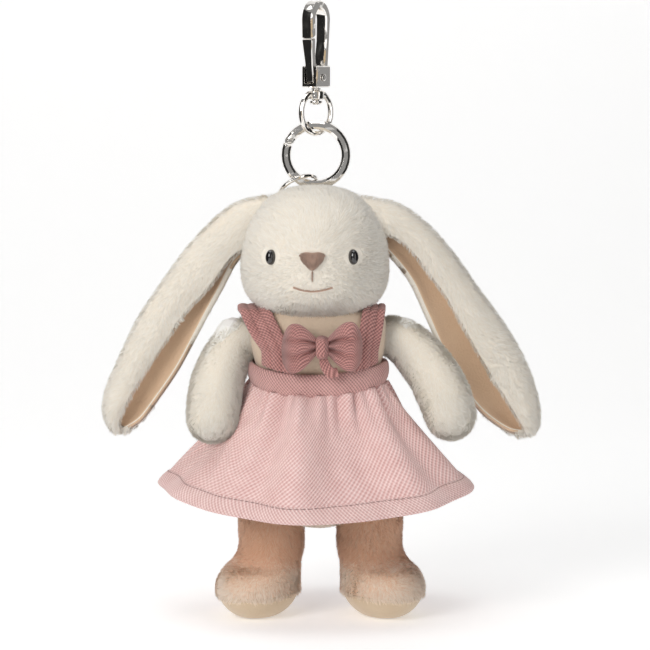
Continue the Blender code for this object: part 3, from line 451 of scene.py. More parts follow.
def grow_fur(name, skin, materials, comb, density=11.5, length=2.7, lean=0.85, width=0.13, keep=None,
             length_of=None, second_share=None, seed=1):
    """Mesh strands over a skin, combed one way, gathered into small tufts and shaded as one soft surface.

    The materials come in threes. second_share says how many strands at a place take the second three.
    """
    rng = np.random.default_rng(seed)
    place, normal = scatter(skin, density * (1), rng, keep)
    if len(place) > STRAND_LIMIT:
        place, normal = place[:STRAND_LIMIT], normal[:STRAND_LIMIT]
    count = len(place)
    flow = comb(place, normal) + 0.4 * swirl(place, 9, seed) + 0.3 * swirl(place, 2.4, seed + 50)
    flow = unit(flow - normal * (flow * normal).sum(1, keepdims=True))
    reach = length * rng.uniform(0.75, 1.15, (count, 1))
    if length_of is not None:
        reach = reach * length_of(place)[:, None]
    tilt = np.clip(lean + 0.1 * rng.normal(size=(count, 1)), 0.1, 1.25)
    tip = place + reach * (normal * np.cos(tilt) + flow * np.sin(tilt))
    tufts = rng.choice(count, max(count // 7, 1), replace=False)
    own = tufts[nearest_tuft(place, place[tufts])]
    gather = rng.uniform(0.25, 0.75, (count, 1))
    tip = tip + (tip[own] - tip) * gather * 0.6
    middle = place + (tip - place) * 0.5 + normal * reach * 0.13
    root = place - normal * 0.3
    side = unit(np.cross(tip - place, normal + 0.3 * rng.normal(size=(count, 3)))) * width / 2
    side[(np.cross(side, tip - place) * normal).sum(1) < 0] *= -1
    points = np.stack([root - side, root + side, middle + side * 0.85, middle - side * 0.85, tip], 1)
    start = np.arange(count)[:, None] * 5
    quads = start + np.array([[0, 1, 2, 3]])
    tips = np.concatenate([start + np.array([[3, 2, 4]]), np.full((count, 1), -1)], 1)
    faces = np.stack([quads, tips], 1).reshape(-1, 4)
    shade = unit(normal + 0.4 * unit(tip - place) + 0.17 * rng.normal(size=(count, 3)))
    normals = np.repeat(shade, 5, 0)
    shades = rng.choice(3, count, p=[0.5, 0.25, 0.25])
    if second_share is not None:
        shades = shades + 3 * (rng.random(count) < second_share(place))
    shades = np.repeat(shades, 2)
    pile = add_mesh(name, points.reshape(-1, 3), faces, materials, material_index=shades, normals=normals)
    pile.visible_shadow = False
    return pile


# ---------------------------------------------------------------- head

HEAD_UP = 28.3
HEAD_SIZE = np.array((25.2, 22.5))
HEAD_CENTRE = np.array((PLUSH_X - 1.2, (HEAD_LOW[1] + HEAD_HIGH[1]) / 2, HEAD_HIGH[2] - HEAD_UP + 0.5))
HEAD_DOWN = 17.7
HEAD_POWER = 2.4


def head_surface(angle, rise):
    """Points of the head: angle goes round it, rise runs from -pi/2 at the neck to pi/2 at the crown."""
    angle, rise = np.broadcast_arrays(angle, rise)
    height = np.where(rise > 0, HEAD_UP, HEAD_DOWN)
    z = height * np.sign(rise) * np.abs(np.sin(rise)) ** (2 / HEAD_POWER)
    out = np.cos(rise) ** (2 / HEAD_POWER)
    x = HEAD_SIZE[0] * out * np.cos(angle)
    y = HEAD_SIZE[1] * out * np.sin(angle)
    muzzle = np.exp(-((x / 11) ** 2 + ((z + 3.5) / 9) ** 2)) * (y < 0)
    cheeks = np.exp(-(((np.abs(x) - 13) / 7) ** 2 + ((z + 8) / 6) ** 2)) * (y < 0)
    y = y - 1.3 * muzzle - 0.8 * cheeks
    return np.stack([x, y, z], -1) + HEAD_CENTRE


def face_place(x, z, proud):
    """A point on the front of the head beside its middle, with its outward normal; z is above the centre."""
    def depth(dx, dz):
        height = HEAD_UP if z + dz > 0 else HEAD_DOWN
        out = max(0.0, 1 - abs((z + dz) / height) ** HEAD_POWER) ** (1 / HEAD_POWER)
        flat = -HEAD_SIZE[1] * sqrt(max(0.0, out ** 2 - ((x + dx) / HEAD_SIZE[0]) ** 2))
        muzzle = np.exp(-(((x + dx) / 11) ** 2 + ((z + dz + 3.5) / 9) ** 2))
        cheeks = np.exp(-(((abs(x + dx) - 13) / 7) ** 2 + ((z + dz + 8) / 6) ** 2))
        return flat - 1.3 * muzzle - 0.8 * cheeks
    step = 0.3
    slope_x = (depth(step, 0) - depth(-step, 0)) / (2 * step)
    slope_z = (depth(0, step) - depth(0, -step)) / (2 * step)
    normal = unit(np.array((slope_x, -1.0, slope_z)))
    return HEAD_CENTRE + np.array((x, depth(0, 0), z)) + normal * proud, normal


EYE_PLACES = ((-15.2, 5.2), (13.4, 5.4))
NOSE_MIDDLE = (-0.8, 4.4)
NOSE_HALF = (5.0, 3.4)


def nose_outline(count):
    """The nose in the face's plane: wide and nearly flat on top, with its point down."""
    angle = full_circle(count)
    rise = np.sin(angle)
    width = NOSE_HALF[0] * 1.02 * (0.64 + 0.36 * rise) * np.cos(angle)
    hollow = 0.7 * np.exp(-(width / 2.2) ** 2) * (rise > 0)
    height = NOSE_HALF[1] * np.where(rise > 0, np.maximum(rise, 0) ** 0.75, rise) - hollow
    return width + NOSE_MIDDLE[0], height + NOSE_MIDDLE[1]


SMILE = [(-7.4, -4.9), (-4.3, -5.8), (-0.6, -6.2), (3.0, -5.8), (6.2, -4.9)]


def away_from_face(place, normal):
    """Where fur may grow on the head: not under the eyes, the nose or the mouth."""
    local = place - HEAD_CENTRE
    front = local[:, 1] < 0
    free = np.ones(len(place), bool)
    for x, z in EYE_PLACES:
        free &= ~(front & (np.hypot(local[:, 0] - x, local[:, 2] - z) < 3.3))
    across = (local[:, 0] - NOSE_MIDDLE[0]) / (NOSE_HALF[0] + 0.1)
    up = (local[:, 2] - NOSE_MIDDLE[1]) / (NOSE_HALF[1] + 0.3)
    free &= ~(front & (np.hypot(across * (1.25 - 0.3 * up), up) < 1))
    smile = spline(SMILE, np.linspace(0, 1, 25))
    for x, z in smile:
        free &= ~(front & (np.hypot(local[:, 0] - x, local[:, 2] - z) < 0.75))
    return free & (local[:, 2] > -HEAD_DOWN * 0.985)


def comb_head(place, normal):
    """The pile runs outwards from the nose on the face and back over the crown."""
    local = place - HEAD_CENTRE
    out = np.stack([local[:, 0], np.zeros(len(local)), local[:, 2] - 2.0], 1)
    back = np.array((0, 1.0, -0.2))
    return unit(out) + back * smooth_step(local[:, 1], -15, 5)[:, None]


def face_length(place):
    """Shorter pile on the muzzle and round the eyes."""
    local = place - HEAD_CENTRE
    length = np.ones(len(place))
    front = local[:, 1] < 0
    muzzle = np.hypot(local[:, 0], local[:, 2] + 1.5)
    length *= np.where(front, 0.5 + 0.5 * smooth_step(muzzle, 5, 15), 1)
    for x, z in EYE_PLACES:
        near = np.hypot(local[:, 0] - x, local[:, 2] - z)
        length *= np.where(front, 0.45 + 0.55 * smooth_step(near, 3.2, 7), 1)
    return length


def make_head():
    rows, columns = 64, 96
    rise = np.linspace(radians(-80), radians(88), rows)[:, None]
    angle = full_circle(columns)[None, :]
    skin = loft("head_skin", head_surface(angle, rise), SKIN)
    settle(skin, "head", "cream_plush", "head_cover")
    pile = grow_fur("head_fur", skin, CREAM, comb_head, density=12, length=2.4, keep=away_from_face,
                    length_of=face_length, seed=3)
    settle(pile, "head", "cream_plush")
    for (x, z), side in zip(EYE_PLACES, ("left", "right")):
        make_eye(x, z, side)
    make_nose()
    make_mouth()


def make_eye(x, z, side):
    """A glossy dome, a little taller than wide, sunk into the pile."""
    seat, normal = face_place(x, z, 0)
    across = unit(np.cross(normal, (0, 0, 1.0)))
    up = np.cross(across, normal)
    rings = []
    for depth, size in ((-1.2, 0.9), (-0.2, 1.0), (0.5, 0.98), (1.1, 0.88), (1.6, 0.7), (1.95, 0.42),
                        (2.05, 0.14)):
        angle = full_circle(32)[:, None]
        rings.append(seat + normal * (depth + 0.2)
                     + across * np.cos(angle) * 1.75 * size + up * np.sin(angle) * 2.75 * size)
    eye = loft("eye_%s_dome" % side, rings, EYE)
    settle(eye, "head", "black_eye", "eye_" + side)


def make_nose():
    """A padded pad of satin stitches, with its separate threads standing proud along it."""
    columns = 64
    x, z = nose_outline(columns)
    rings, uv = [], []
    for shrink, proud in ((1.0, -0.2), (1.0, 0.5), (0.95, 1.0), (0.8, 1.35), (0.5, 1.6), (0.2, 1.7)):
        ring = []
        for px, pz in zip(x, z):
            sx = NOSE_MIDDLE[0] + (px - NOSE_MIDDLE[0]) * shrink
            sz = NOSE_MIDDLE[1] + (pz - NOSE_MIDDLE[1]) * shrink
            ring.append(face_place(sx, sz, proud)[0])
            uv.append((sx, sz))
        rings.append(ring)
    points, faces = capped(np.array(rings).reshape(-1, 3), grid_faces(len(rings), columns), columns)
    uv += [NOSE_MIDDLE, NOSE_MIDDLE]
    nose = add_mesh("nose_pad", points, faces, [THREAD], uv)
    face_out(nose)
    settle(nose, "head", "brown_thread", "nose_embroidery")
    stitches = []
    for step in np.linspace(-0.92, 0.92, 23):
        sx = NOSE_MIDDLE[0] + step * NOSE_HALF[0]
        inside = np.abs(x - sx) < 0.6
        if not inside.any():
            continue
        top, bottom = z[inside].max(), z[inside].min()
        heights = np.linspace(top, bottom, 9)
        arch = np.sqrt(np.maximum(0.0, 1 - (2 * np.linspace(0, 1, 9) - 1) ** 4))
        bulge = 1.62 * arch * (1 - 0.45 * step ** 4)
        stitches.append([face_place(sx, height, max(b, 0.3))[0] for height, b in zip(heights, bulge)])
    make_stitches("nose_stitches", stitches, 0.2, THREAD, "head", "brown_thread")


STITCH_SIDES = 6
STITCH_UP = (0.02, 1.0, 0.03)     # a little off the axis, so that no stitch runs along it


def make_stitches(name, paths, radius, material, body, slot):
    """Many short threads as one piece."""
    points, faces, uv = [], [], []
    section = round_section(radius, STITCH_SIDES)
    for path in paths:
        path = np.asarray(path, float)
        size = np.ones(len(path))
        size[0] = size[-1] = 0.35
        rings = tube_rings(path, section, size, STITCH_UP)
        ring_points, ring_faces = capped(rings.reshape(-1, 3), grid_faces(len(path), STITCH_SIDES),
                                         STITCH_SIDES)
        offset = len(points)
        points += list(ring_points)
        faces.append(np.where(ring_faces >= 0, ring_faces + offset, -1))
        uv += [(point[0] * 3, point[2]) for point in ring_points]
    item = add_mesh(name, points, np.vstack(faces), [material], uv)
    face_out(item)
    settle(item, body, slot)


def make_mouth():
    """The smile as a row of back stitches, and one stitch down from the nose."""
    smile = spline(SMILE, np.linspace(0, 1, 41))
    line = [face_place(x, z, 0.45)[0] for x, z in smile]
    mouth = sweep("mouth_line", line, round_section(0.34, 10), THREAD, up=STITCH_UP)
    settle(mouth, "head", "brown_thread", "mouth_stitching")
    drop = [face_place(NOSE_MIDDLE[0], z, 0.55)[0] for z in np.linspace(0.9, -2.9, 8)]
    make_stitches("mouth_drop", [drop], 0.26, THREAD, "head", "brown_thread")


make_head()


# ---------------------------------------------------------------- ears

# Each ear at stations from its root to its tip: the fold's ridge, the front flap's edge and the back
# flap's edge, as (x, seen height).
EAR_Y = -3.5
EAR_LEFT = [
    ((-16, 151.5), (-19, 138), (-18, 136)), ((-29.5, 147.8), (-29.5, 132.5), (-28, 130.5)),
    ((-43.5, 134.5), (-38, 121.5), (-34.5, 119)), ((-55.5, 118.3), (-47.5, 111.5), (-39.5, 110)),
    ((-62.5, 107.5), (-54, 101.7), (-44.2, 101)), ((-69.2, 93.5), (-61, 92), (-50, 90.5)),
    ((-73.8, 82.5), (-67, 82), (-56.5, 81)), ((-74.8, 74.5), (-71, 73.5), (-63, 72.5)),
    ((-72.2, 69), (-71, 68.5), (-69, 68.5))]
EAR_RIGHT = [
    ((14, 151.5), (16, 142), (14, 139)), ((28.2, 148.6), (27, 139.5), (21.5, 136.5)),
    ((37.3, 142.5), (34.5, 134), (28.2, 130)), ((46.2, 133.2), (42.2, 124.1), (34.2, 122)),
    ((55.5, 120.3), (49.5, 113.5), (39.3, 111)), ((65.8, 106), (57, 99.5), (45.6, 97)),
    ((73.4, 93), (64.2, 87.5), (52.5, 84.5)), ((78, 79.5), (70.5, 77.5), (60, 75)),
    ((78.6, 71.5), (75, 70), (68.5, 68.8)), ((76.8, 67.8), (75.8, 67.6), (74, 67.4))]
EAR_HALF = 1.1                # half the thickness of an ear's plush


def ear_grid(stations, rows, columns):
    """The middle surface of a folded ear: rows from root to tip, columns from front edge to back edge."""
    ridge, front, back = (np.array([station[k] for station in stations], float) for k in range(3))
    places = np.linspace(0, 1, rows)
    ridge, front, back = (spline(line, places) for line in (ridge, front, back))
    narrow = np.linalg.norm(ridge - back, axis=1) / 16
    depth = np.clip(narrow, 0.12, 1)[:, None]
    line = [
        (front, -3.6), (front * 0.5 + ridge * 0.5, -4.6), (ridge * 0.93 + front * 0.07, -2.6), (ridge, 0.3),
        (ridge * 0.86 + back * 0.14, 3.0), (ridge * 0.5 + back * 0.5, 4.6), (ridge * 0.2 + back * 0.8, 3.4),
        (back, 0.2)]
    grid = np.zeros((rows, columns, 3))
    across = np.linspace(0, 1, columns)
    for i in range(rows):
        knots = []
        for flat, y in line:
            x, height = flat[i]
            knots.append(seen(x, height, EAR_Y) + np.array((0, y * depth[i, 0], 0)))
        grid[i] = spline(knots, across)
    return grid


def ear_sides(grid, side):
    """Unit normals of an ear's middle surface that point to its plush side."""
    along = np.gradient(grid, axis=0)
    across = np.gradient(grid, axis=1)
    return unit(np.cross(across, along)) * side


def make_ear(name, stations, side):
    rows, columns = 90, 48
    grid = ear_grid(stations, rows, columns)
    out = ear_sides(grid, side)
    outer, inner = grid + out * EAR_HALF, grid - out * EAR_HALF
    rings = np.concatenate([outer, inner[:, ::-1]], 1)
    skin = loft("ear_%s_skin" % name, rings, SKIN)
    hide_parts("ear_%s_plush" % name)
    lining_rows = slice(2, rows - 3)
    face = (grid - out * (EAR_HALF + 0.18))[lining_rows]
    under = (grid - out * (EAR_HALF - 0.25))[lining_rows]
    face[:, -1] = (grid + out * (EAR_HALF - 0.3))[lining_rows, -1]
    lining = loft("ear_%s_velour" % name, np.concatenate([face, under[:, ::-1]], 1), LINING)
    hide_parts("ear_%s_lining" % name)

    tree = kdtree.KDTree(grid.shape[0] * grid.shape[1])
    flat_grid, flat_out = grid.reshape(-1, 3), out.reshape(-1, 3)
    for i, point in enumerate(flat_grid):
        tree.insert(point, i)
    tree.balance()

    def on_plush_side(place, normal):
        near = np.array([tree.find(point)[1] for point in place])
        plush = ((place - flat_grid[near]) * flat_out[near]).sum(1) > -EAR_HALF * 0.75
        return plush & ((near % columns < columns - 3) | (near // columns > rows - 7))

    def comb(place, normal):
        tip = seen(*stations[-1][0], EAR_Y)
        root = seen(*stations[0][0], EAR_Y)
        run = unit(tip - root)
        return np.broadcast_to(run, place.shape) * 1.2

    pile = grow_fur("ear_%s_fur" % name, skin, CREAM, comb, density=11.5, length=2.4, lean=0.95,
                    keep=on_plush_side, seed=11 if side > 0 else 12)
    for item in (skin, lining, pile):
        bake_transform(item)


make_ear("left", EAR_LEFT, 1)
make_ear("right", EAR_RIGHT, -1)


# ---------------------------------------------------------------- arms

ARM_PATHS = {
    "left": [(-26.5, -3, -117.5), (-31, -5, -121.5), (-35.2, -10, -130), (-37, -14.4, -138),
             (-37.6, -17.3, -144.5)],
    "right": [(26.5, -3, -117), (33, -5, -120.5), (40.5, -10, -129), (44.8, -14.5, -137),
              (47, -17, -143.5)]}
ARM_RADII = [6.2, 7.3, 8.1, 8.4, 8.0]


def bent_body(name, path, radii, material):
    """A smooth stuffed limb with rounded ends."""
    rows, columns = 44, 48
    places = np.linspace(0, 1, rows)
    line = spline(path, places)
    size = spline(np.array(radii, float)[:, None], places)[:, 0]
    tangent = unit(np.gradient(line, axis=0))
    side = unit(np.cross(tangent, (0, 1.0, 0)))
    lift = np.cross(side, tangent)
    angle = full_circle(columns)[None, :, None]
    around = side[:, None] * np.cos(angle) + lift[:, None] * np.sin(angle)
    rings = list(line[:, None] + size[:, None, None] * around)
    angle = angle[0]
    for k in range(1, 9):
        turn = radians(k * 10.6)
        rings.append(line[-1] + tangent[-1] * size[-1] * sin(turn)
                     + size[-1] * cos(turn) * (side[-1] * np.cos(angle) + lift[-1] * np.sin(angle)))
        rings.insert(0, line[0] - tangent[0] * size[0] * sin(turn)
                     + size[0] * cos(turn) * (side[0] * np.cos(angle) + lift[0] * np.sin(angle)))
    return loft(name, rings, material)


def make_arm(name):
    path = np.array(ARM_PATHS[name], float) + np.array((PLUSH_X, 0, 0))
    skin = bent_body("arm_%s_skin" % name, path, ARM_RADII, SKIN)
    settle(skin, "arm_" + name, "cream_plush", "arm_%s_cover" % name)
    run = unit(path[-1] - path[0])

    def comb(place, normal):
        return np.broadcast_to(run + np.array((0, -0.4, -0.3)), place.shape) * 1.1

    pile = grow_fur("arm_%s_fur" % name, skin, CREAM, comb, density=16, length=2.4,
                    seed=21 if name == "left" else 22)
    settle(pile, "arm_" + name, "cream_plush")


for arm in ("left", "right"):
    make_arm(arm)


# ---------------------------------------------------------------- torso

TORSO_Y = -5.0
TORSO_POWER = 2.3
TORSO_STATIONS = [(-105.6, 9, 7), (-106.4, 18, 12), (-108.5, 23, 15), (-113, 24.5, 17), (-120, 24.2, 17.6),
                  (-128, 22.2, 17.2), (-134, 21.6, 17.2), (-145, 22.5, 18), (-158, 22, 18), (-170, 20.6, 17),
                  (-179, 16, 13.5), (-183.5, 9, 8.5), (-185, 3, 3)]


def super_ring(x, y, z, half_x, half_y, count, power=2.0, turn=0.0):
    angle = full_circle(count)
    c, s = np.cos(angle), np.sin(angle)
    u = np.sign(c) * np.abs(c) ** (2 / power) * half_x
    v = np.sign(s) * np.abs(s) ** (2 / power) * half_y
    return np.stack([x + u * cos(turn) - v * sin(turn), y + u * sin(turn) + v * cos(turn),
                     np.full(count, z)], 1)


def torso_half_sizes(z):
    heights = [station[0] for station in TORSO_STATIONS][::-1]
    return [np.interp(z, heights, [station[k] for station in TORSO_STATIONS][::-1]) for k in (1, 2)]


def torso_point(angle, z, proud):
    half_x, half_y = torso_half_sizes(z)
    c, s = np.cos(angle), np.sin(angle)
    size = (np.abs(c) ** TORSO_POWER + np.abs(s) ** TORSO_POWER) ** (-1 / TORSO_POWER)
    return np.stack([PLUSH_X + (half_x + proud) * c * size, TORSO_Y + (half_y + proud) * s * size,
                     z + 0 * c], -1)


def make_torso():
    stations = spline(np.array(TORSO_STATIONS, float), np.linspace(0, 1, 60))
    rings = [super_ring(PLUSH_X, TORSO_Y, z, hx, hy, 72, TORSO_POWER) for z, hx, hy in stations]
    # The whole torso skin takes the chest's brown painted shade.
    skin = loft("torso_skin", rings, SHADED_CHEST_SKIN)
    settle(skin, "torso", "cream_plush", "torso_cover")

    def uncovered(place, normal):
        return place[:, 2] < -168

    def comb(place, normal):
        return np.broadcast_to(np.array((0, 0, -1.2)), place.shape)

    pile = grow_fur("torso_fur", skin, WARM, comb, density=14, length=1.6, keep=uncovered, seed=31)
    settle(pile, "torso", "cream_plush")


make_torso()


# ---------------------------------------------------------------- legs

HIP_Y = -4.0
FOOT_TURN = radians(25)
FOOT_OUT = 4.6


def make_leg(name, side):
    hip_x = -17 + PLUSH_X if side < 0 else 18.6 + PLUSH_X
    turn = -side * (pi / 2 - FOOT_TURN)
    foot_x, foot_y = hip_x + side * FOOT_OUT, HIP_Y - 4.5
    stations = np.array([
        (hip_x, HIP_Y, -162.6, 5.4, 5.4), (hip_x, HIP_Y, -165, 9, 9), (hip_x, HIP_Y, -171, 10.6, 10.6),
        (hip_x, HIP_Y, -184, 11.0, 10.9), (hip_x, HIP_Y, -193, 10.9, 10.8),
        (hip_x + side * 1.6, HIP_Y - 1.4, -198, 12.2, 11.2),
        (hip_x + side * 3.6, HIP_Y - 3.4, -201.5, 15.6, 12.6),
        (foot_x, foot_y, -205.4, 17.0, 13.4), (foot_x, foot_y, -209.4, 17.2, 13.5)])
    smooth = spline(stations, np.linspace(0, 1, 52))
    rings = [super_ring(x, y, z, hx, hy, 56, 2.0, turn) for x, y, z, hx, hy in smooth]
    skin = loft("leg_%s_skin" % name, rings, WARM_SKIN)
    settle(skin, "leg_" + name, "cream_plush", "leg_%s_cover" % name)

    def comb(place, normal):
        toes = np.array((side * 0.4, -0.4, -0.9))
        low = smooth_step(-place[:, 2], 196, 204)[:, None]
        return (1 - low) * np.array((0, 0, -1.2)) + low * toes

    def above_sole(place, normal):
        return (place[:, 2] > -209.3) & (normal[:, 2] > -0.8)

    # Painted light: the fronts of the toes take the lighter warm pile where light falls, and the legs above
    # keep the peach painted shade.
    def lit_toe_share(place):
        return smooth_step(-place[:, 2], 195, 203) * smooth_step(HIP_Y - place[:, 1], -4, 8)

    pile = grow_fur("leg_%s_fur" % name, skin, SHADED_PEACH + WARM, comb, density=16, length=2.1, keep=above_sole,
                    second_share=lit_toe_share, seed=41 if side < 0 else 42)
    settle(pile, "leg_" + name, "cream_plush")
    bowl = np.array([(-208.6, 17.3, 13.6), (-210.5, 16.9, 13.2), (-212.8, 15.5, 12.1), (-215.2, 12.9, 10.1),
                     (-216.9, 9.8, 7.7), (FLOOR, 7.4, 5.8)])
    curve = spline(bowl, np.linspace(0, 1, 26))
    rings = [super_ring(foot_x, foot_y, z, hx, hy, 56, 2.0, turn) for z, hx, hy in curve]
    sole = loft("sole_%s_suede" % name, rings, SUEDE)
    settle(sole, "leg_" + name, "suede", "sole_" + name)


make_leg("left", -1)
make_leg("right", 1)


# ---------------------------------------------------------------- dress

WAIST_HALF = 4.0
HEM_HALF = (54.0, 38.0)
FOLDS = [(3, 0.5, 1.6), (5, 2.6, 3.8), (8, 0.9, 3.6), (13, 4.0, 1.9)]     # waves round the hem, phase, height
GATHERS = [(17, 0.3, 1.0), (29, 1.7, 0.7), (43, 2.9, 0.3)]


WAIST_LEVEL = -134.0     # the waist is no wider than the torso is here


def waist_height(angle):
    front = np.maximum(0.0, -np.sin(angle))
    return -129.4 - 3.0 * front ** 2 + 0.8 * np.cos(angle) * front


def skirt_points(angle, down, proud=0.0):
    """The skirt: down runs from 0 at the waist to 1 at the hem, as gathers fade out and folds grow."""
    angle, down = np.broadcast_arrays(angle, down)
    front, back = np.maximum(0.0, -np.sin(angle)), np.maximum(0.0, np.sin(angle))
    top = waist_height(angle) - WAIST_HALF + 0.6
    bottom = -170.0 - 7.4 * front ** 1.6 - 6.0 * back ** 1.6
    waist = torso_point(angle, WAIST_LEVEL, 1.0)
    flare = 0.45 * down + 0.55 * down ** 1.6
    fold = sum(height * np.cos(count * angle + phase) for count, phase, height in FOLDS)
    fold = fold * down ** 0.6 * (1 - 0.75 * down ** 3)
    gather = sum(height * np.cos(count * angle + phase) for count, phase, height in GATHERS)
    gather = gather * np.exp(-((down - 0.08) / 0.22) ** 2)
    x = waist[..., 0] + (PLUSH_X - 0.4 + HEM_HALF[0] * np.cos(angle) - waist[..., 0]) * flare
    y = waist[..., 1] + (TORSO_Y + HEM_HALF[1] * np.sin(angle) - waist[..., 1]) * flare
    out = fold + gather + proud
    z = top + (bottom - top) * down
    return np.stack([x + out * np.cos(angle), y + out * np.sin(angle), z], -1)


CLOTH_TENSION = 25.0
CLOTH_BENDING = 12.0


def run_cloth(item, frames, pin_weights, colliders):
    """A short cloth simulation, applied. The pin weights say how firmly each vertex keeps its place."""
    group = item.vertex_groups.new(name="held")
    for i, weight in enumerate(pin_weights):
        group.add([i], float(weight), "REPLACE")
    for collider in colliders:
        collider.modifiers.new("collision", "COLLISION")
        collider.collision.thickness_outer = 0.4 * MM
    modifier = item.modifiers.new("cloth", "CLOTH")
    settings = modifier.settings
    settings.quality = 8
    settings.mass = 0.0002
    settings.tension_stiffness = CLOTH_TENSION
    settings.compression_stiffness = CLOTH_TENSION
    settings.shear_stiffness = CLOTH_TENSION / 2
    settings.bending_stiffness = CLOTH_BENDING
    settings.vertex_group_mass = "held"
    settings.pin_stiffness = 1.0
    modifier.collision_settings.distance_min = 0.4 * MM
    modifier.collision_settings.use_self_collision = False
    scene = bpy.context.scene
    for number in range(1, frames + 1):
        scene.frame_set(number)
    graph = bpy.context.evaluated_depsgraph_get()
    settled = bpy.data.meshes.new_from_object(item.evaluated_get(graph))
    item.modifiers.clear()
    item.data = settled
    item.vertex_groups.clear()
    for collider in colliders:
        collider.modifiers.clear()
    scene.frame_set(1)


def make_skirt():
    rows, columns = 46, 300
    down = np.linspace(0, 0.93, rows)[:, None]
    angle = full_circle(columns)[None, :]
    grid = skirt_points(angle, down, 0.9)
    middle = skirt_points(angle, 0.6)
    around = np.linalg.norm(np.diff(middle, axis=1, append=middle[:, :1]), axis=2)
    u = np.broadcast_to(np.cumsum(around, 1), (rows, columns))
    v = np.broadcast_to(down * 50, (rows, columns))
    uv = np.stack([u, v], 2).reshape(-1, 2)
    cloth = add_mesh("skirt_cloth", grid.reshape(-1, 3), grid_faces(rows, columns), [PINK], uv)
    face_out_open(cloth)
    held = np.maximum(1 - smooth_step(down, 0.02, 0.30), smooth_step(down, 0.80, 0.99))
    held = np.broadcast_to(0.06 + 0.94 * held, (rows, columns)).ravel()
    run_cloth(cloth, 14, held, [bpy.data.objects["arm_left_skin"], bpy.data.objects["arm_right_skin"]])
    add_thickness(cloth, 0.9)
    settle(cloth, "torso", "pink_twill", "skirt")


def add_thickness(item, thickness):
    solid = item.modifiers.new("cloth_thickness", "SOLIDIFY")
    solid.thickness = thickness * MM
    solid.offset = 0


def face_out_open(item):
    """Make the normals of an open sheet point away from the rabbit's middle."""
    points, normals, _ = surface_arrays(item)
    away = points - np.array((PLUSH_X, TORSO_Y, 0))
    away[:, 2] = 0
    if (away * normals).sum() < 0:
        item.data.flip_normals()


def add_band(name, rings, outer_row, heights, material):
    """A closed band round the body: its weave is measured along one row, and across by the heights."""
    rows, count, _ = rings.shape
    around = np.linalg.norm(np.diff(rings[:, outer_row], axis=0, prepend=rings[:1, outer_row]), axis=1)
    u = np.broadcast_to(np.cumsum(around)[:, None], (rows, count))
    v = np.broadcast_to(np.array(heights)[None], (rows, count))
    band = add_mesh(name, rings.reshape(-1, 3), grid_faces(rows, count, True), [material],
                    np.stack([u, v], 2).reshape(-1, 2))
    face_out(band)
    return band


def make_hem():
    """A turned band round the foot of the skirt, with a rolled lower edge and a stitched upper one."""
    columns = 300
    angle = full_circle(columns)
    profile = [(0.875, 0.2), (0.875, 1.4), (0.895, 2.2), (0.93, 2.7), (0.97, 2.7), (1.0, 2.3), (1.018, 1.4),
               (1.02, 0.6), (1.01, 0.1), (0.98, -0.1), (0.93, -0.1), (0.90, 0.0)]
    rings = np.stack([skirt_points(angle, down, proud) for down, proud in profile], 1)
    hem = add_band("skirt_hem_band", rings, 3, [down * 50 for down, _ in profile], PINK_HEM)
    settle(hem, "torso", "pink_twill", "skirt_hem")
    stitches = []
    number = 150
    for i in range(number):
        turn = 2 * pi * i / number + np.linspace(0, 2 * pi / number * 0.8, 4)
        stitches.append(skirt_points(turn, np.full(4, 0.888), 2.0))
    make_stitches("hem_stitches", stitches, 0.16, HEM_SEWING, "torso", "pink_twill")


def band_rings(angle, profile, height_of):
    """Sections of a band round the torso, from (height above its middle, distance outside the torso)."""
    rings = []
    for turn in angle:
        z = height_of(turn)
        rings.append([torso_point(np.array(turn), max(z + h, WAIST_LEVEL), proud) * np.array((1, 1, 0))
                      + np.array((0, 0, z + h)) for h, proud in profile])
    return np.array(rings)


def make_waistband():
    columns = 260
    angle = full_circle(columns)
    profile = [(-WAIST_HALF, 0.8), (-WAIST_HALF, 2.0), (-WAIST_HALF + 0.8, 2.7), (-1.6, 3.25), (0, 3.4),
               (1.6, 3.25), (WAIST_HALF - 0.8, 2.6), (WAIST_HALF, 1.9), (WAIST_HALF, 0.8)]
    rings = band_rings(angle, profile, waist_height)
    band = add_band("waistband_roll", rings, 4, [h * 1.1 for h, _ in profile], WAIST)
    settle(band, "torso", "rose_twill", "waistband")


# Each strap's middle at the waist and at the shoulder, and its half width.
STRAPS = {"left": (14.6, 24.0, 5.5), "right": (17.2, 20.4, 4.2)}


def make_strap(side, name):
    """A band sewn in three lengthwise ribs, from the waistband over the shoulder to the back."""
    steps = 90
    turns = np.linspace(radians(-21), radians(196), steps)
    count = 25
    across = np.linspace(-1, 1, count)
    ribs = 0.6 * np.abs(np.cos(across * 1.5 * pi)) ** 0.5 - 0.12
    low_x, high_x, half = STRAPS[name]
    rings, uv = [], []
    centre = np.array((0, TORSO_Y, -121.0))
    for step, turn in enumerate(turns):
        direction = np.array((0, -cos(turn), sin(turn)))
        high = max(0.0, sin(turn))
        middle_x = side * (low_x + (high_x - low_x) * high ** 1.1)
        width = half * (1 - 0.1 * high)
        top, under = [], []
        for place, rib in zip(across, ribs):
            x = middle_x + place * width
            reach = torso_reach(min(max(x, -21.0), 21.0), centre, direction)
            middle = np.array((x + PLUSH_X, centre[1], centre[2]))
            top.append(middle + direction * (reach + 2.2 + rib))
            under.append(middle + direction * (reach + 0.6))
        rings.append(top + under[::-1])
        length = step * 0.75
        uv += [(place * width, length) for place in np.concatenate([across, across[::-1]])]
    rings = np.array(rings)
    points, faces = capped(rings.reshape(-1, 3), grid_faces(steps, 2 * count), 2 * count)
    uv += [(0, 0), (0, length)]
    strap = add_mesh("strap_%s_band" % name, points, faces, [ROSE_CROSS if side > 0 else ROSE], uv)
    face_out(strap)
    settle(strap, "torso", "rose_twill", "strap_" + name)
    for edge in (-1 / 3, 1 / 3):
        column = int(round((edge + 1) / 2 * (count - 1)))
        line = rings[:, column]
        stitches = [line[i:i + 2] for i in range(2, steps - 2, 2)]
        make_stitches("strap_%s_seam_%d" % (name, column), stitches, 0.17, SEWING, "torso", "rose_twill")


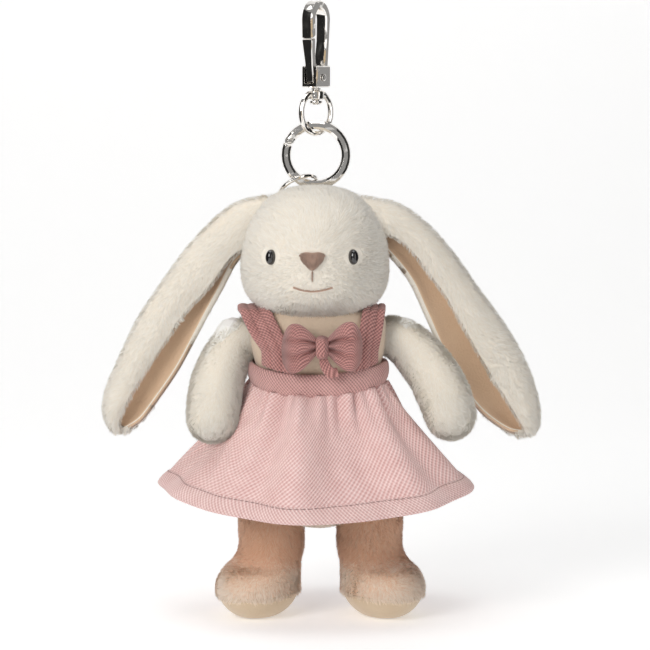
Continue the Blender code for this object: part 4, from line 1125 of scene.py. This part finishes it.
def torso_reach(x, centre, direction):
    """Distance from the torso's inside to its surface along a direction in a plane of constant x."""
    near, far = 0.0, 40.0
    for _ in range(22):
        middle = (near + far) / 2
        point = centre + direction * middle
        half_x, half_y = torso_half_sizes(point[2])
        outside = point[2] > TORSO_STATIONS[0][0] or (
            abs(x / half_x) ** TORSO_POWER + abs((point[1] - TORSO_Y) / half_y) ** TORSO_POWER > 1)
        if outside:
            far = middle
        else:
            near = middle
    return near


BOW = middle_mm("bow_knot")


def make_bow_loop(side, name):
    """A pinched loop of cloth: two layers that part at the outer end, with folds running from the knot."""
    rows, columns = 46, 96
    reach = np.linspace(0, 1, rows)[:, None]
    angle = full_circle(columns)[None, :]
    half_z = 2.2 + 6.6 * np.sin(np.minimum(reach * 1.5, 1) * pi / 2) ** 1.2
    half_y = 1.5 + 2.6 * np.sin(np.minimum(reach * 1.6, 1) * pi / 2)
    end = np.sqrt(np.maximum(0.02, 1 - np.maximum(0, (reach - 0.7) / 0.3) ** 2 * 0.96))
    height = np.sign(np.sin(angle)) * np.abs(np.sin(angle)) ** 0.85 * half_z * end
    depth = np.cos(angle) * half_y * end
    fan = height / half_z
    crease = np.exp(-((fan - 0.34) / 0.13) ** 2) * (1 - reach) ** 0.5
    crease = crease + np.exp(-((fan + 0.28) / 0.15) ** 2) * (1 - 0.8 * reach)
    depth = depth - np.sign(depth) * np.minimum(np.abs(depth) * 0.95, 3.6 * crease)
    x = BOW[0] + side * (1.0 + 13.2 * reach)
    z = BOW[2] + 0.3 + height + side * 0.5 * reach - 0.8 * reach ** 2
    y = BOW[1] + 1.2 - 0.9 * np.sin(reach * pi) + depth
    rings = np.stack(np.broadcast_arrays(x, y, z), -1)
    loop = loft("bow_%s_cloth" % name, rings, ROSE if side > 0 else ROSE_CROSS)
    settle(loop, "torso", "rose_twill", "bow_loop_" + name)


def make_knot():
    rows, columns = 30, 56
    rise = np.linspace(-1, 1, rows)[:, None]
    angle = full_circle(columns)[None, :]
    half = np.sqrt(np.maximum(0.03, 1 - np.abs(rise) ** 6))
    pleat = 1 + 0.05 * np.cos(5 * angle)
    x = BOW[0] + 2.3 * half * pleat * np.cos(angle)
    y = BOW[1] + 0.3 + 3.0 * half * pleat * np.sin(angle)
    z = BOW[2] + 4.2 * rise + 0 * angle
    knot = loft("bow_knot_cloth", np.stack(np.broadcast_arrays(x, y, z), -1), ROSE_CROSS)
    settle(knot, "torso", "rose_twill", "bow_knot")
    tail_low, tail_high = box_mm("bow_tail")
    y = (tail_low[1] + tail_high[1]) / 2
    path = spline([(tail_low[0] + 1.0, y + 0.6, tail_high[2] - 0.2),
                   (tail_low[0] + 1.6, y, tail_high[2] - 2.6),
                   (tail_low[0] + 3.6, y - 0.3, tail_low[2] + 1.8),
                   (tail_high[0] - 1.2, y + 0.1, tail_low[2] + 2.0)], np.linspace(0, 1, 24))
    tail = sweep("bow_tail_cloth", path, round_section(1.8, 20, 0.42), ROSE,
                 size=0.75 + 0.3 * np.sin(np.linspace(0.1, 2.6, 24)))
    settle(tail, "torso", "rose_twill", "bow_tail")


make_waistband()
for strap_side, strap_name in ((-1, "left"), (1, "right")):
    make_strap(strap_side, strap_name)
    make_bow_loop(strap_side, strap_name)
make_knot()
make_hem()
make_skirt()


# ---------------------------------------------------------------- hardware

def paint(node, material):
    """Give a CAD part that stays as it is one material."""
    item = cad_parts[node]
    item.data.materials.clear()
    item.data.materials.append(material)
    return item


def smooth_hardware(node, width, segments=3, round_wire=False):
    """A CAD part kept as it is, with softened edges and a chrome finish."""
    item = paint(node, CHROME)
    item.modifiers.new("joined_corners", "WELD").merge_threshold = 0.00001
    bevel = item.modifiers.new("soft_edges", "BEVEL")
    bevel.width = width * MM
    bevel.segments = segments
    bevel.limit_method = "ANGLE"
    bevel.angle_limit = radians(28)
    bevel.harden_normals = False
    if round_wire:
        rounding = item.modifiers.new("round_wire", "SUBSURF")
        rounding.levels = 2
        rounding.render_levels = 2
    item.modifiers.new("even_shading", "WEIGHTED_NORMAL").keep_sharp = False


for part_node, edge_width in (("hook_body", 0.6), ("hook_gate", 0.4), ("hook_gate_pin", 0.12),
                              ("swivel_rivet", 0.12), ("spring_ring_pin", 0.12)):
    smooth_hardware(part_node, edge_width, 4)
for spring_node in ("hook_gate_spring", "spring_ring_spring"):
    paint(spring_node, STEEL)
for ring_node in ("spring_ring_body", "spring_ring_gate"):
    smooth_hardware(ring_node, 0.3)
for wire_node in ("swivel_eye", "jump_ring"):
    smooth_hardware(wire_node, 0.04, 1, round_wire=True)

paint("hanging_loop", TAPE)


# ---------------------------------------------------------------- studio

def make_stage():
    """A pale sheet that curves up behind the object."""
    half, back, depth = 900, 700, 1400
    profile = [(-depth, 0)] + [(back - 300 + 300 * sin(a), 300 - 300 * cos(a))
                               for a in np.linspace(0, pi / 2, 12)] + [(back, 1500)]
    points = [(x, y, FLOOR - 0.05 + z) for y, z in profile for x in (-half, half)]
    faces = grid_faces(len(profile), 2, False, False)
    material, _, shader = new_material("studio_paper", (0.93, 0.93, 0.93), 0.9)
    shader.inputs["Emission Color"].default_value = (1, 1, 1, 1)
    shader.inputs["Emission Strength"].default_value = 0.30
    paper = add_mesh("studio_sheet", points, faces, [material])


LIT_POINT = (0, 0, -110)


def add_light(name, place, size, power, colour=(1, 1, 1)):
    data = bpy.data.lights.new(name, "AREA")
    data.shape = "RECTANGLE"
    data.size, data.size_y = size[0] * MM, size[1] * MM
    data.energy = power
    data.color = colour
    item = bpy.data.objects.new(name, data)
    item.location = Vector(place) * MM
    item.rotation_euler = (Vector(LIT_POINT) - Vector(place)).to_track_quat("-Z", "Y").to_euler()
    bpy.context.scene.collection.objects.link(item)


def add_card(name, middle, size, shade):
    """A card for the chrome to reflect, which the camera doesn't see."""
    x, y, z = middle
    wide, high = size
    corners = ((-wide, -high), (wide, -high), (wide, high), (-wide, high))
    points = [(x, y + dy, z + dz) for dy, dz in corners]
    material, _, _ = new_material(name + "_paint", shade, 1.0)
    card = add_mesh(name, points, np.array([[0, 1, 2, 3]]), [material])
    card.visible_camera = False
    card.visible_shadow = False
    card.visible_diffuse = False


make_stage()
add_light("key", (-480, -640, 260), (420, 420), 3.4, (1, 0.985, 0.96))
add_light("fill", (560, -520, 60), (400, 500), 0.7)
add_light("top", (-60, -60, 520), (500, 400), 1.3)
add_card("dark_card_left", (-230, -80, -20), (150, 280), (0.01, 0.01, 0.01))
add_card("dark_card_right", (230, -60, -20), (130, 280), (0.01, 0.01, 0.01))
add_card("warm_card", (150, -330, -60), (60, 200), (0.50, 0.38, 0.24))
world = bpy.data.worlds.new("studio_air")
world.use_nodes = True
world.node_tree.nodes["Background"].inputs["Color"].default_value = (1, 1, 1, 1)
world.node_tree.nodes["Background"].inputs["Strength"].default_value = 0.30
bpy.context.scene.world = world
bpy.context.scene.view_settings.view_transform = "Standard"


def add_camera():
    data = bpy.data.cameras.new("camera")
    data.lens = 36 * CAMERA_DISTANCE / PICTURE_WIDTH
    data.sensor_width = 36
    data.clip_start = 0.05
    item = bpy.data.objects.new("camera", data)
    target = seen(3.24, 106.56, FRONT_Y)
    place = target + CAMERA_DISTANCE * np.array((0, -cos(CAMERA_TILT), sin(CAMERA_TILT)))
    item.location = Vector(place) * MM
    item.rotation_euler = (pi / 2 - CAMERA_TILT, 0, 0)
    bpy.context.scene.collection.objects.link(item)
    bpy.context.scene.camera = item


add_camera()
